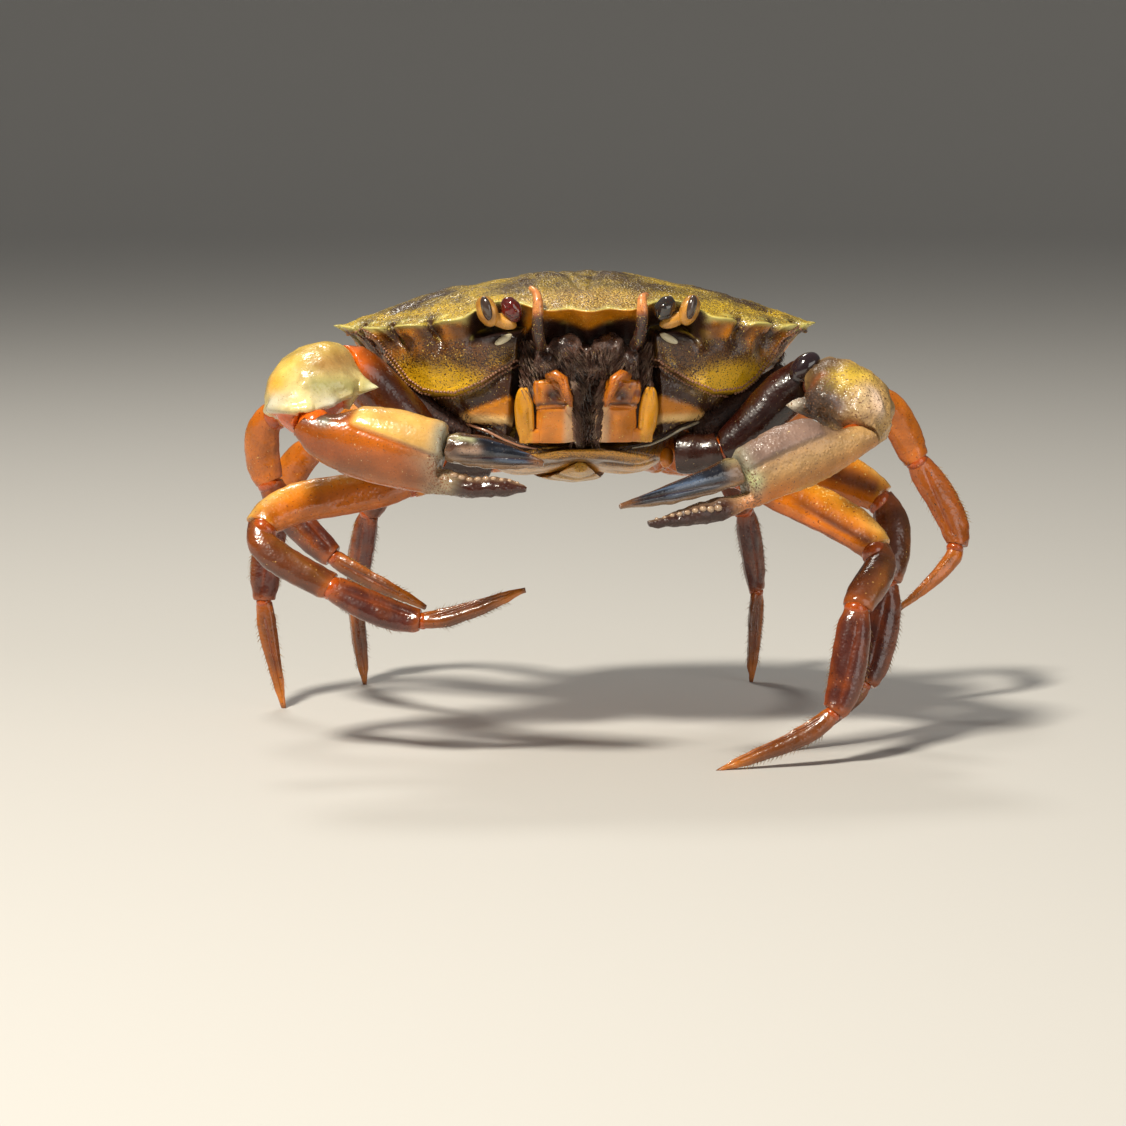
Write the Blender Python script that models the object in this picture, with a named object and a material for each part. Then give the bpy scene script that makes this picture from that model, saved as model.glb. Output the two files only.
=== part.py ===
# European shore crab, life size, standing on the tips of its walking legs.
#
# The crab faces -Y, its own left side is +X, and the floor is z = 0. Every
# length below is in millimetres and becomes metres when a mesh is made.
# The trunk is drawn in a body frame whose origin lies level with the side
# spines, and the stance then tips it nose up and lifts it off the floor.
# Each hard article of the shell is its own closed solid, and neighbours
# keep a thin joint gap, as the plates of a real crab do.

from math import cos, pi, radians, sin

import bmesh
import bpy
from mathutils import Matrix, Vector

MM = 0.001

# Driving dimensions
GAP = 0.3
SHELL_HALF_WIDTH = 28.0
DOME_HEIGHT = 6.3
STANCE_HEIGHT = 47.4
STANCE_PITCH = radians(13.0)
TOE_RADIUS = 0.3

STANCE = Matrix.Translation((0, 0, STANCE_HEIGHT)) @ Matrix.Rotation(-STANCE_PITCH, 4, "X")
UP = Vector((0, 0, 1))

# Name: (red, green, blue), roughness
FINISHES = {
    "shell_olive": ((0.36, 0.27, 0.05), 0.35),
    "shell_under": ((0.58, 0.36, 0.12), 0.4),
    "mouth_brown": ((0.07, 0.035, 0.02), 0.6),
    "mouth_orange": ((0.62, 0.26, 0.03), 0.4),
    "eye_stalk": ((0.50, 0.27, 0.05), 0.25),
    "feeler": ((0.60, 0.22, 0.05), 0.4),
    "claw_orange": ((0.60, 0.30, 0.08), 0.35),
    "finger_slate": ((0.05, 0.06, 0.08), 0.3),
    "leg_orange": ((0.55, 0.20, 0.02), 0.35),
    "leg_brown": ((0.16, 0.06, 0.03), 0.35),
}


def clear_scene():
    for thing in list(bpy.data.objects):
        bpy.data.objects.remove(thing, do_unlink=True)


def finish_material(name):
    colour, roughness = FINISHES[name]
    made = bpy.data.materials.get(name) or bpy.data.materials.new(name)
    made.use_nodes = True
    shader = made.node_tree.nodes["Principled BSDF"]
    shader.inputs["Base Color"].default_value = (*colour, 1)
    shader.inputs["Roughness"].default_value = roughness
    shader.inputs["Metallic"].default_value = 0
    made.diffuse_color = (*colour, 1)
    return made


def add_object(name, bm, material):
    """Makes the millimetre bmesh an object in metres, shaded smooth."""
    bmesh.ops.recalc_face_normals(bm, faces=bm.faces)
    bmesh.ops.scale(bm, vec=(MM, MM, MM), verts=bm.verts)
    mesh = bpy.data.meshes.new(name)
    bm.to_mesh(mesh)
    bm.free()
    mesh.materials.append(finish_material(material))
    mesh.shade_smooth()
    made = bpy.data.objects.new(name, mesh)
    CRAB.objects.link(made)
    return made


def loft(rings, start=None, end=None):
    """Closed bmesh through rings of equal count, each end closed on a centre point."""
    bm = bmesh.new()
    loops = [[bm.verts.new(p) for p in ring] for ring in rings]
    count = len(rings[0])
    for near, far in zip(loops, loops[1:]):
        for i in range(count):
            j = (i + 1) % count
            bm.faces.new((near[i], near[j], far[j], far[i]))
    for loop, pole in ((loops[0], start), (loops[-1], end)):
        middle = sum((v.co for v in loop), Vector()) / count
        tip = bm.verts.new(middle if pole is None else pole)
        for i in range(count):
            bm.faces.new((loop[i], loop[(i + 1) % count], tip))
    return bm


def lerp(a, b, t):
    return a + (b - a) * t


def ramp(table, t):
    """Values read off a table of (t, value, ...) rows, eased between rows."""
    for low, high in zip(table, table[1:]):
        if t <= high[0]:
            break
    share = min(1, max(0, (t - low[0]) / (high[0] - low[0])))
    share = share * share * (3 - 2 * share)
    values = [lerp(a, b, share) for a, b in zip(low[1:], high[1:])]
    return values if len(values) > 1 else values[0]


def bump(x, centre, width):
    """Smooth hill of height 1 around centre."""
    d = (x - centre) / width
    return 1 / (1 + d * d * d * d) if abs(d) < 4 else 0


def hill(x, y, cx, cy, rx, ry):
    """Smooth round hill of height 1 on the back, alike on both sides."""
    dx, dy = (abs(x) - cx) / rx, (y - cy) / ry
    return max(0.0, 1 - dx * dx - dy * dy) ** 2


# Carapace: the rim, front to back, on the crab's left side. Each station has
# its rim point and, below it, the foot where the side wall ends. Stations
# without a foot share out the way between their neighbours' feet.
TOOTH_TIPS = ((13.8, -17.5, -1.5), (19.1, -14.6, -1.7), (23.2, -11.0, -1.5),
              (26.2, -7.1, -0.8), (SHELL_HALF_WIDTH, -3.0, 0.1))
TOOTH_FEET = ((11.0, -9.8, -12.8), (12.8, -8.9, -12.0), (14.2, -7.0, -11.4),
              (14.9, -4.4, -11.2), (15.2, -1.4, -10.9))
NOTCH_DEPTH = 1.6
NOTCH_PLACE = 0.80
MARGIN_SWELL = 0.45
FRONT_RIM = (
    ((0.0, -20.4, -1.3), (0.0, -7.2, -14.4)),
    ((1.1, -20.1, -1.1), None),
    ((2.2, -19.1, -0.7), None),
    ((3.2, -19.7, -0.95), None),
    ((4.4, -19.95, -1.1), None),
    ((5.6, -19.5, -0.85), None),
    ((6.5, -18.5, -0.4), (7.9, -7.6, -14.3)),
    ((7.5, -17.1, 0.25), (9.0, -10.2, -14.0)),
    ((8.9, -16.3, 0.7), None),
    ((10.6, -16.3, 0.6), None),
    ((12.2, -16.9, -0.3), None),
)
BACK_RIM = (
    ((26.3, -1.3, -0.3), None),
    ((25.6, 0.7, -0.9), None),
    ((24.4, 3.3, -1.4), None),
    ((22.8, 6.3, -2.0), (14.7, 4.6, -10.4)),
    ((20.4, 9.6, -2.5), None),
    ((18.3, 13.0, -3.0), (12.2, 12.0, -9.4)),
    ((15.6, 16.1, -3.4), None),
    ((13.1, 18.7, -3.7), (9.2, 17.8, -8.3)),
    ((10.8, 20.4, -3.8), None),
    ((8.2, 21.1, -3.8), None),
    ((5.2, 21.2, -3.6), (4.6, 20.1, -7.8)),
    ((2.5, 21.1, -3.5), None),
    ((0.0, 21.0, -3.5), (0.0, 20.1, -7.8)),
)
FACE_COLUMNS = 7
ORBIT_COLUMNS = (7, 11)
SEPTUM = (0.45, 0.75, 1)
TOP_RINGS = (0.2, 0.38, 0.54, 0.68, 0.8, 0.89, 0.955, 1.0)
WALL_RINGS = (0.05, 0.13, 0.24, 0.37, 0.5, 0.64, 0.8, 1.0)
DOME_POLE = Vector((0, 1.0, DOME_HEIGHT))
CEILING = -10.6


def rim_stations():
    """(rim, foot or None) for each station, from the front's middle to the back's."""
    stations = [(Vector(rim), foot and Vector(foot)) for rim, foot in FRONT_RIM]
    tips = [Vector(p) for p in TOOTH_TIPS]
    for i, tip in enumerate(tips):
        stations.append((tip, Vector(TOOTH_FEET[i])))
        if i + 1 == len(tips):
            break
        run = tips[i + 1] - tip
        outward = Vector((-run.y, run.x, 0)).normalized() * -1
        for share in (0.28, 0.55):
            stations.append((tip + run * share + outward * MARGIN_SWELL, None))
        notch = tip + run * NOTCH_PLACE - outward * NOTCH_DEPTH
        stations.append((notch, None))
    stations += [(Vector(rim), foot and Vector(foot)) for rim, foot in BACK_RIM]
    return stations


def shared_feet(stations):
    """A foot for every station."""
    known = [i for i, (_, foot) in enumerate(stations) if foot]
    feet = []
    for i, (_, foot) in enumerate(stations):
        if foot:
            feet.append(foot)
            continue
        low = max(k for k in known if k < i)
        high = min(k for k in known if k > i)
        feet.append(stations[low][1].lerp(stations[high][1], (i - low) / (high - low)))
    return feet


def softened(points, passes):
    """The rim with its teeth smoothed away, mirrored ends held on the midline."""
    for _ in range(passes):
        before = [Vector((-points[1].x, *points[1].yz))] + points[:-1]
        after = points[1:] + [Vector((-points[-2].x, *points[-2].yz))]
        points = [(a + b * 2 + c) / 4 for a, b, c in zip(before, points, after)]
    return points


def back_relief(x, y):
    """Raised and sunk regions of the back, in millimetres."""
    gastric = 0.5 * hill(x, y, 3.5, -7, 6.5, 7)
    cardiac = 0.45 * hill(x, y, 0, 10, 5, 6)
    branchial = 0.7 * hill(x, y, 15, 5, 8, 9)
    hepatic = 0.35 * hill(x, y, 16.5, -9, 5, 4.5)
    neck_groove = -0.6 * hill(x, y, 7.5, 3.0, 3.4, 5)
    return gastric + cardiac + branchial + hepatic + neck_groove


def top_ring(rim, share):
    """One ring of the back, share of the way from its middle to the rim."""
    outline = softened(rim, round((1 - share) * 40)) if share < 1 else rim
    ring = []
    for p in outline:
        flat = DOME_POLE.lerp(p, share)
        power = 2.2 + 1.3 * min(1, max(0, (p.y + 4) / 18))
        height = p.z + (DOME_HEIGHT - p.z) * (1 - share ** power)
        relief = back_relief(flat.x, flat.y) * (1 - share ** 6)
        ring.append(Vector((flat.x, flat.y, height + relief)))
    return ring


def wall_point(index, rim, foot, share):
    """One point of the side wall below the rim."""
    p = rim.lerp(foot, share)
    outward = Vector((rim.x, rim.y - DOME_POLE.y, 0)).normalized()
    if index < FACE_COLUMNS:
        recess = ramp(((0, 0), (0.05, 0.8), (0.16, 4.2), (0.37, 4.6), (0.7, 2.6), (1, 0)), share)
        p.y += recess * ramp(((0, SEPTUM[min(index, 2)]), (0.13, SEPTUM[min(index, 2)]), (0.24, 1)), share)
        p.z += 0.5 * bump(share, 0.1, 0.1)
        return p
    spread = min(1, max(0.15, (rim.x - 12) / 12))
    hollow = ramp(((0, 0), (0.05, -0.3), (0.13, -0.7), (0.3, 0.1), (0.5, 1.5), (0.68, 2.3),
                   (0.86, 1.6), (1, 0)), share)
    hollow *= spread if hollow > 0 else 1
    p += outward * hollow
    if ORBIT_COLUMNS[0] <= index <= ORBIT_COLUMNS[1]:
        depth = (3.6, 3.9, 3.9, 3.2, 1.2)[index - ORBIT_COLUMNS[0]]
        p.y += depth * ramp(((0, 0), (0.05, 0.25), (0.12, 1), (0.2, 0.9), (0.26, -0.3), (0.4, 0)), share)
    return p


def both_sides(half):
    """A ring of the whole body from its left half."""
    mirrored = [Vector((-p.x, p.y, p.z)) for p in half[-2:0:-1]]
    return half + mirrored


def make_carapace():
    stations = rim_stations()
    rim = [s[0] for s in stations]
    feet = shared_feet(stations)
    rings = [both_sides(top_ring(rim, share)) for share in TOP_RINGS]
    for share in WALL_RINGS:
        half = [wall_point(i, r, f, share) for i, (r, f) in enumerate(zip(rim, feet))]
        rings.append(both_sides(half))
    centre = Vector((0, 4.0, 0))
    inner = []
    for p in feet:
        q = centre.lerp(p, 0.72)
        inner.append(Vector((q.x, q.y, CEILING)))
    rings.append(both_sides(inner))
    top = DOME_POLE + UP * back_relief(0, DOME_POLE.y)
    bm = loft(rings, top, Vector((centre.x, centre.y, CEILING)))
    bmesh.ops.transform(bm, matrix=STANCE, verts=bm.verts)
    add_object("carapace", bm, "shell_olive")


# Sternum: the plate between the legs. Rows of (y, half width, top, bottom).
STERNUM = (
    (-10.3, 2.4, -15.2, -15.6),
    (-9.6, 4.6, -15.15, -15.9),
    (-8.4, 7.0, -14.9, -16.2),
    (-6.6, 8.9, -14.75, -16.5),
    (-4.6, 9.9, -12.2, -16.8),
    (-1.5, 10.3, -11.0, -17.1),
    (3.0, 10.0, -11.0, -17.3),
    (7.5, 9.0, -11.0, -16.9),
    (11.5, 7.4, -10.95, -15.8),
    (14.5, 5.6, -10.95, -14.2),
    (15.8, 3.6, -10.95, -13.0),
)
STERNUM_SIDES = 20
GROOVE_DEPTH = 1.25

# Abdomen, folded forward under the sternum. Rows of (half width, y, z) on
# the outer face, from the back of the carapace to the tip of the telson.
ABDOMEN = (
    (4.8, 20.9, -8.4),
    (5.6, 20.7, -10.2),
    (5.9, 19.6, -12.4),
    (5.4, 17.4, -14.3),
    (4.6, 13.4, -15.6),
    (3.8, 8.6, -16.9),
    (3.1, 4.2, -17.4),
    (2.3, 0.2, -17.4),
    (1.4, -3.0, -17.2),
    (0.7, -4.6, -17.15),
)
ABDOMEN_THICKNESS = 1.0


def make_sternum():
    rings = []
    for y, half_width, top, bottom in STERNUM:
        ring = []
        for k in range(STERNUM_SIDES):
            angle = 2 * pi * k / STERNUM_SIDES
            across, rise = cos(angle), sin(angle)
            x = half_width * (abs(across) ** 0.7) * (1 if across > 0 else -1)
            middle, reach = (top + bottom) / 2, (top - bottom) / 2
            z = middle + reach * (abs(rise) ** 0.6) * (1 if rise > 0 else -1)
            if rise < 0 and y > -6.0:
                fit = abdomen_half_width(y) + 1.0
                z += GROOVE_DEPTH * bump(x, 0, fit) * min(1, (y + 6.0) / 2)
            ring.append(Vector((x, y, z)))
        rings.append(ring)
    bm = loft(rings)
    bmesh.ops.transform(bm, matrix=STANCE, verts=bm.verts)
    add_object("sternum", bm, "shell_under")


def abdomen_half_width(y):
    for (w0, y0, _), (w1, y1, _) in zip(ABDOMEN[3:], ABDOMEN[4:]):
        if y1 <= y <= y0:
            return lerp(w1, w0, (y - y1) / (y0 - y1))
    return ABDOMEN[-1][0] if y < 0 else ABDOMEN[3][0]


def make_abdomen():
    path = [Vector((0, y, z)) for _, y, z in ABDOMEN]
    rings = []
    for i, (half_width, _, _) in enumerate(ABDOMEN):
        ahead = path[min(i + 1, len(path) - 1)] - path[max(i - 1, 0)]
        outward = Vector((0, -ahead.z, ahead.y)).normalized()
        ring = []
        for k in range(12):
            angle = 2 * pi * k / 12
            across, rise = cos(angle), sin(angle)
            x = half_width * across
            depth = ABDOMEN_THICKNESS * (0.5 + 0.5 * rise)
            ring.append(path[i] + Vector((x, 0, 0)) - outward * depth)
        rings.append(ring)
    bm = loft(rings)
    bmesh.ops.transform(bm, matrix=STANCE, verts=bm.verts)
    add_object("abdomen", bm, "shell_under")


def new_ball(radii, place, turn=None, segments=12, rows=8):
    bm = bmesh.new()
    bmesh.ops.create_uvsphere(bm, u_segments=segments, v_segments=rows, radius=1)
    bmesh.ops.scale(bm, vec=radii, verts=bm.verts)
    if turn:
        bmesh.ops.transform(bm, matrix=turn, verts=bm.verts)
    bmesh.ops.translate(bm, vec=place, verts=bm.verts)
    return bm


def new_block(size, place, turn=None, bevel=0.3):
    bm = bmesh.new()
    bmesh.ops.create_cube(bm, size=1)
    bmesh.ops.scale(bm, vec=size, verts=bm.verts)
    bmesh.ops.bevel(bm, geom=bm.edges, offset=bevel, segments=1, profile=0.5,
                    affect="EDGES", material=-1)
    if turn:
        bmesh.ops.transform(bm, matrix=turn, verts=bm.verts)
    bmesh.ops.translate(bm, vec=place, verts=bm.verts)
    return bm


def fuse(name, pieces, material):
    """One closed body from overlapping closed pieces, the largest surface kept."""
    parts = bpy.data.collections.new(name + "_pieces")
    bpy.context.scene.collection.children.link(parts)
    objects = []
    for i, bm in enumerate(pieces):
        bmesh.ops.recalc_face_normals(bm, faces=bm.faces)
        mesh = bpy.data.meshes.new(f"{name}_piece_{i}")
        bm.to_mesh(mesh)
        bm.free()
        objects.append(bpy.data.objects.new(mesh.name, mesh))
    base = objects[0]
    bpy.context.scene.collection.objects.link(base)
    for other in objects[1:]:
        parts.objects.link(other)
    union = base.modifiers.new("union", "BOOLEAN")
    union.operation = "UNION"
    union.operand_type = "COLLECTION"
    union.collection = parts
    graph = bpy.context.evaluated_depsgraph_get()
    fused = bmesh.new()
    fused.from_object(base, graph)
    for thing in objects:
        bpy.data.objects.remove(thing, do_unlink=True)
    bpy.data.collections.remove(parts)
    bmesh.ops.remove_doubles(fused, verts=fused.verts, dist=0.005)
    keep_largest(fused)
    bmesh.ops.transform(fused, matrix=STANCE, verts=fused.verts)
    return add_object(name, fused, material)


def keep_largest(bm):
    """Drops every closed surface but the one with the most faces."""
    seen, largest = set(), []
    for seed in bm.faces:
        if seed in seen:
            continue
        shell, queue = [], [seed]
        seen.add(seed)
        while queue:
            face = queue.pop()
            shell.append(face)
            for edge in face.edges:
                for other in edge.link_faces:
                    if other not in seen:
                        seen.add(other)
                        queue.append(other)
        if len(shell) > len(largest):
            largest = shell
    kept = set(largest)
    bmesh.ops.delete(bm, geom=[f for f in bm.faces if f not in kept], context="FACES")


# The face. Its plane leans so that the mouth looks forward and a little down.
FACE_TOP = Vector((0, -14.8, -7.9))
FACE_LEAN = radians(24)
FACE_TURN = Matrix.Rotation(FACE_LEAN, 4, "X")


def on_face(across, up, out):
    """A point given across, up and out of the mouth's plane."""
    return FACE_TOP + FACE_TURN @ Vector((across, -out, up))


def make_epistome():
    """The brown plate between the orbits, with the folded antennules, and the mouth's floor."""
    pieces = [
        new_block((11.4, 2.0, 3.2), Vector((0, -14.6, -5.6)), bevel=0.5),
        new_block((11.0, 1.3, 8.6), on_face(0, -3.5, -1.7), FACE_TURN, bevel=0.4),
    ]
    for side in (-1, 1):
        pieces.append(new_ball((1.9, 1.6, 1.5), Vector((side * 2.5, -15.7, -4.5))))
        pieces.append(new_ball((1.5, 1.2, 1.3), Vector((side * 4.5, -15.3, -6.0))))
    fuse("epistome", pieces, "mouth_brown")


def make_maxilliped(side):
    """Third maxilliped: exopod, ischium, merus and the bent palp, one limb of the mouth's door."""
    lean_out = Matrix.Rotation(side * radians(4), 4, "Y")
    lean_in = Matrix.Rotation(side * radians(32), 4, "Y")
    pieces = [
        new_block((4.5, 1.3, 4.4), on_face(side * 3.25, -5.3, 0), FACE_TURN, 0.4),
        new_block((3.9, 1.3, 3.6), on_face(side * 3.9, -1.7, 0.1), FACE_TURN @ lean_out, 0.45),
        new_block((1.9, 1.2, 1.7), on_face(side * 6.0, -6.6, 0), FACE_TURN, 0.3),
        new_ball((1.05, 0.75, 3.4), on_face(side * 7.1, -4.2, 0.15), FACE_TURN @ lean_out),
        new_ball((0.85, 0.8, 1.6), on_face(side * 3.0, -1.0, 0.8), FACE_TURN @ lean_in),
        new_ball((0.75, 0.7, 1.6), on_face(side * 1.9, -2.5, 0.7), FACE_TURN),
    ]
    fuse("maxilliped_" + SIDE_NAMES[side], pieces, "mouth_orange")


def tube_rings(path, sizes, sides, up=UP):
    """Rings along a path of points. sizes gives (height, thickness) at each point."""
    rings = []
    for i, p in enumerate(path):
        ahead = (path[min(i + 1, len(path) - 1)] - path[max(i - 1, 0)]).normalized()
        side = ahead.cross(up).normalized()
        rise = side.cross(ahead)
        height, thick = sizes[i]
        ring = []
        for k in range(sides):
            angle = 2 * pi * k / sides
            ring.append(p + rise * (height / 2 * sin(angle)) + side * (thick / 2 * cos(angle)))
        rings.append(ring)
    return rings


def make_eye(side):
    """Short stalk that rises out of the orbit to the oval cornea, with the swelling at its root."""
    start, end = Vector((side * 8.6, -17.3, -2.6)), Vector((side * 11.7, -18.2, 0.1))
    rows = ((0, 1.2), (0.12, 1.8), (0.35, 2.3), (0.6, 2.6), (0.8, 2.75), (0.93, 2.3), (1, 1.2))
    path = [start.lerp(end, t) for t, _ in rows]
    stalk = loft(tube_rings(path, [(s, s) for _, s in rows], 14))
    swelling = new_ball((1.25, 1.15, 1.3), Vector((side * 8.75, -17.6, -0.75)))
    fuse("eye_" + SIDE_NAMES[side], [stalk, swelling], "eye_stalk")


# How much of its full height each antenna's whip stands up over the shell
WHIP_RISE = {-1: 1.0, 1: 0.5}


def make_antenna(side):
    """Second antenna: a stout base beside the front and a short whip bent up over the shell."""
    points = ((5.2, -16.5, -4.5), (5.6, -17.9, -3.9), (5.8, -19.2, -2.9), (5.8, -20.1, -1.6),
              (5.8, -20.3, -0.4), (5.8, -20.1, 0.6), (6.0, -19.6, 1.3), (6.5, -19.0, 1.7))
    sizes = (1.4, 1.5, 1.5, 1.35, 1.2, 1.0, 0.8, 0.5)
    path = [Vector((side * x, y, z if z < 0 else z * WHIP_RISE[side])) for x, y, z in points]
    rings = tube_rings(path, [(s, s) for s in sizes], 8, Vector((side, 0, 0)))
    bm = loft(rings)
    bmesh.ops.transform(bm, matrix=STANCE, verts=bm.verts)
    add_object("antenna_" + SIDE_NAMES[side], bm, "feeler")


SIDE_NAMES = {-1: "right", 1: "left"}
ARTICLES = ("base", "merus", "carpus", "propodus", "dactyl")

# Walking legs. Each row of a profile is (share of the length, height,
# thickness). Height lies in the plane of the limb's bend.
LEG_PROFILES = {
    "base": ((0, 4.6, 4.0), (0.25, 5.0, 4.4), (0.46, 3.7, 3.4), (0.75, 4.2, 3.4), (1, 3.9, 3.1)),
    "merus": ((0, 3.3, 2.8), (0.12, 4.3, 3.1), (0.35, 5.2, 3.4), (0.65, 5.4, 3.5), (0.88, 4.9, 3.4),
              (1, 4.0, 3.0)),
    "carpus": ((0, 3.2, 2.7), (0.2, 3.9, 3.0), (0.45, 4.3, 3.2), (0.75, 4.3, 3.2), (0.92, 3.9, 3.0),
               (1, 3.4, 2.7)),
    "propodus": ((0, 3.0, 2.4), (0.14, 3.8, 2.8), (0.45, 4.2, 2.9), (0.75, 3.9, 2.7), (0.93, 3.4, 2.5),
                 (1, 2.8, 2.2)),
    "dactyl": ((0, 2.0, 1.7), (0.12, 2.5, 1.9), (0.4, 2.1, 1.6), (0.7, 1.5, 1.2), (0.9, 0.9, 0.8),
               (1, TOE_RADIUS * 2, TOE_RADIUS * 2)),
}
PADDLE_PROFILES = dict(
    LEG_PROFILES,
    propodus=((0, 3.0, 2.2), (0.14, 4.4, 2.4), (0.5, 5.2, 2.3), (0.85, 4.4, 2.0), (1, 3.1, 1.8)),
    dactyl=((0, 2.3, 1.5), (0.18, 3.5, 1.5), (0.5, 3.4, 1.3), (0.78, 2.1, 1.1), (0.92, 1.1, 0.8),
            (1, TOE_RADIUS * 2, TOE_RADIUS * 2)),
)
LEG_SIDES = 12

# How far the cut at each joint leans towards the article after it.
KNEE_LEANS = (0.5, 0.4, 0.6, 0.5)

# Joint places on each leg, in the standing frame: root, end of the ischium,
# knee, end of the carpus, end of the propodus and tip, then its size. Legs
# with their tip at zero stand on it, and the others are lifted.
LEGS = {
    "leg1_right": (((-10.8, -5.6, 34.0), (-19.6, -7.4, 30.4), (-36.6, -13.0, 26.3),
                    (-28.8, -16.0, 19.8), (-18.8, -18.0, 16.2), (-7.1, -20.0, 19.8)), 1.0),
    "leg1_left": (((10.8, -5.6, 34.0), (18.6, -7.8, 31.0), (33.5, -14.0, 23.0),
                   (30.2, -20.5, 17.2), (27.0, -23.5, 5.9), (14.2, -25.5, 0.0)), 1.0),
    "leg2_right": (((-10.6, -0.6, 33.1), (-18.4, 2.3, 34.6), (-34.6, 8.0, 37.2),
                    (-35.4, 10.2, 28.6), (-28.0, 7.0, 20.0), (-17.2, 2.6, 14.4)), 1.03),
    "leg2_left": (((10.6, -0.6, 33.1), (19.0, -0.4, 32.7), (35.6, -4.2, 27.6),
                   (35.6, -8.4, 18.4), (32.6, -11.2, 7.0), (22.8, -15.4, 0.0)), 1.03),
    "leg3_right": (((-9.6, 4.9, 32.3), (-16.4, 8.4, 31.4), (-29.5, 16.5, 32.2),
                    (-34.4, 19.4, 25.0), (-36.2, 19.4, 13.0), (-34.0, 17.4, 0.0)), 1.0),
    "leg3_left": (((9.6, 4.9, 32.3), (19.0, 8.2, 35.2), (37.2, 12.5, 38.2),
                   (43.3, 14.6, 30.0), (47.9, 12.0, 19.7), (40.1, 8.0, 12.6)), 1.0),
    "leg4_right": (((-7.6, 10.4, 31.7), (-11.6, 15.8, 30.4), (-19.0, 26.4, 28.8),
                    (-22.8, 31.6, 22.2), (-24.6, 34.0, 11.6), (-23.6, 33.2, 0.0)), 0.92),
    "leg4_left": (((7.6, 10.4, 31.7), (11.8, 15.6, 30.4), (19.8, 25.4, 28.9),
                   (24.2, 30.2, 22.2), (26.2, 32.0, 11.6), (25.4, 30.8, 0.0)), 0.92),
}


def bend(start, end, way_in, way_out, t):
    """Point and direction on the smooth path that leaves start along way_in and meets end along way_out."""
    reach = (end - start).length
    point = (start * (2 * t ** 3 - 3 * t ** 2 + 1) + end * (3 * t ** 2 - 2 * t ** 3)
             + way_in * (reach * (t ** 3 - 2 * t ** 2 + t)) + way_out * (reach * (t ** 3 - t ** 2)))
    way = ((end - start) * (6 * t - 6 * t ** 2)
           + way_in * (reach * (3 * t ** 2 - 4 * t + 1)) + way_out * (reach * (3 * t ** 2 - 2 * t)))
    return point, way.normalized()


def joint_cuts(points, leans):
    """The normal of the cut at each joint, which leans from one article's direction to the next's."""
    ways = [(b - a).normalized() for a, b in zip(points, points[1:])]
    cuts = [ways[0]]
    cuts += [a.lerp(b, lean).normalized() for a, b, lean in zip(ways, ways[1:], leans)]
    return cuts + [ways[-1]]


def section(centre, way, across, height, thick, sides):
    """An oval ring square to way, with its thickness towards across."""
    side = (across - way * across.dot(way)).normalized()
    rise = side.cross(way)
    ring = []
    for k in range(sides):
        angle = 2 * pi * k / sides
        ring.append(centre + rise * (height / 2 * sin(angle)) + side * (thick / 2 * cos(angle)))
    return ring


def article(start, end, cut_in, cut_out, across, rows, size, sides):
    """Rings of one limb article, with half a joint gap left at each end."""
    begin = start + cut_in * (GAP / 2)
    finish = end - cut_out * (GAP / 2)
    rings = []
    for t, height, thick in rows:
        centre, way = bend(begin, finish, cut_in, cut_out, t)
        rings.append(section(centre, way, across, height * size, thick * size, sides))
    return rings


def cut_flat(ring, place, normal, way, share=1.0):
    """The ring moved along way, share of the distance to the plane through place."""
    return [p + way * (share * (place - p).dot(normal) / way.dot(normal)) for p in ring]


def make_leg(name, places, size):
    points = [Vector(p) for p in places]
    cuts = joint_cuts(points, KNEE_LEANS)
    across = (points[2] - points[0]).cross(points[-1] - points[2])
    profiles = PADDLE_PROFILES if name.startswith("leg4") else LEG_PROFILES
    for i, part in enumerate(ARTICLES):
        rings = article(points[i], points[i + 1], cuts[i], cuts[i + 1], across, profiles[part], size, LEG_SIDES)
        toe = points[i + 1]
        if part == "dactyl" and toe.z == 0:
            rings[-1] = cut_flat(rings[-1], toe, UP, cuts[-1])
        finish = "leg_brown" if part in ("propodus", "dactyl") else "leg_orange"
        add_object(f"{name}_{part}", loft(rings), finish)


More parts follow.
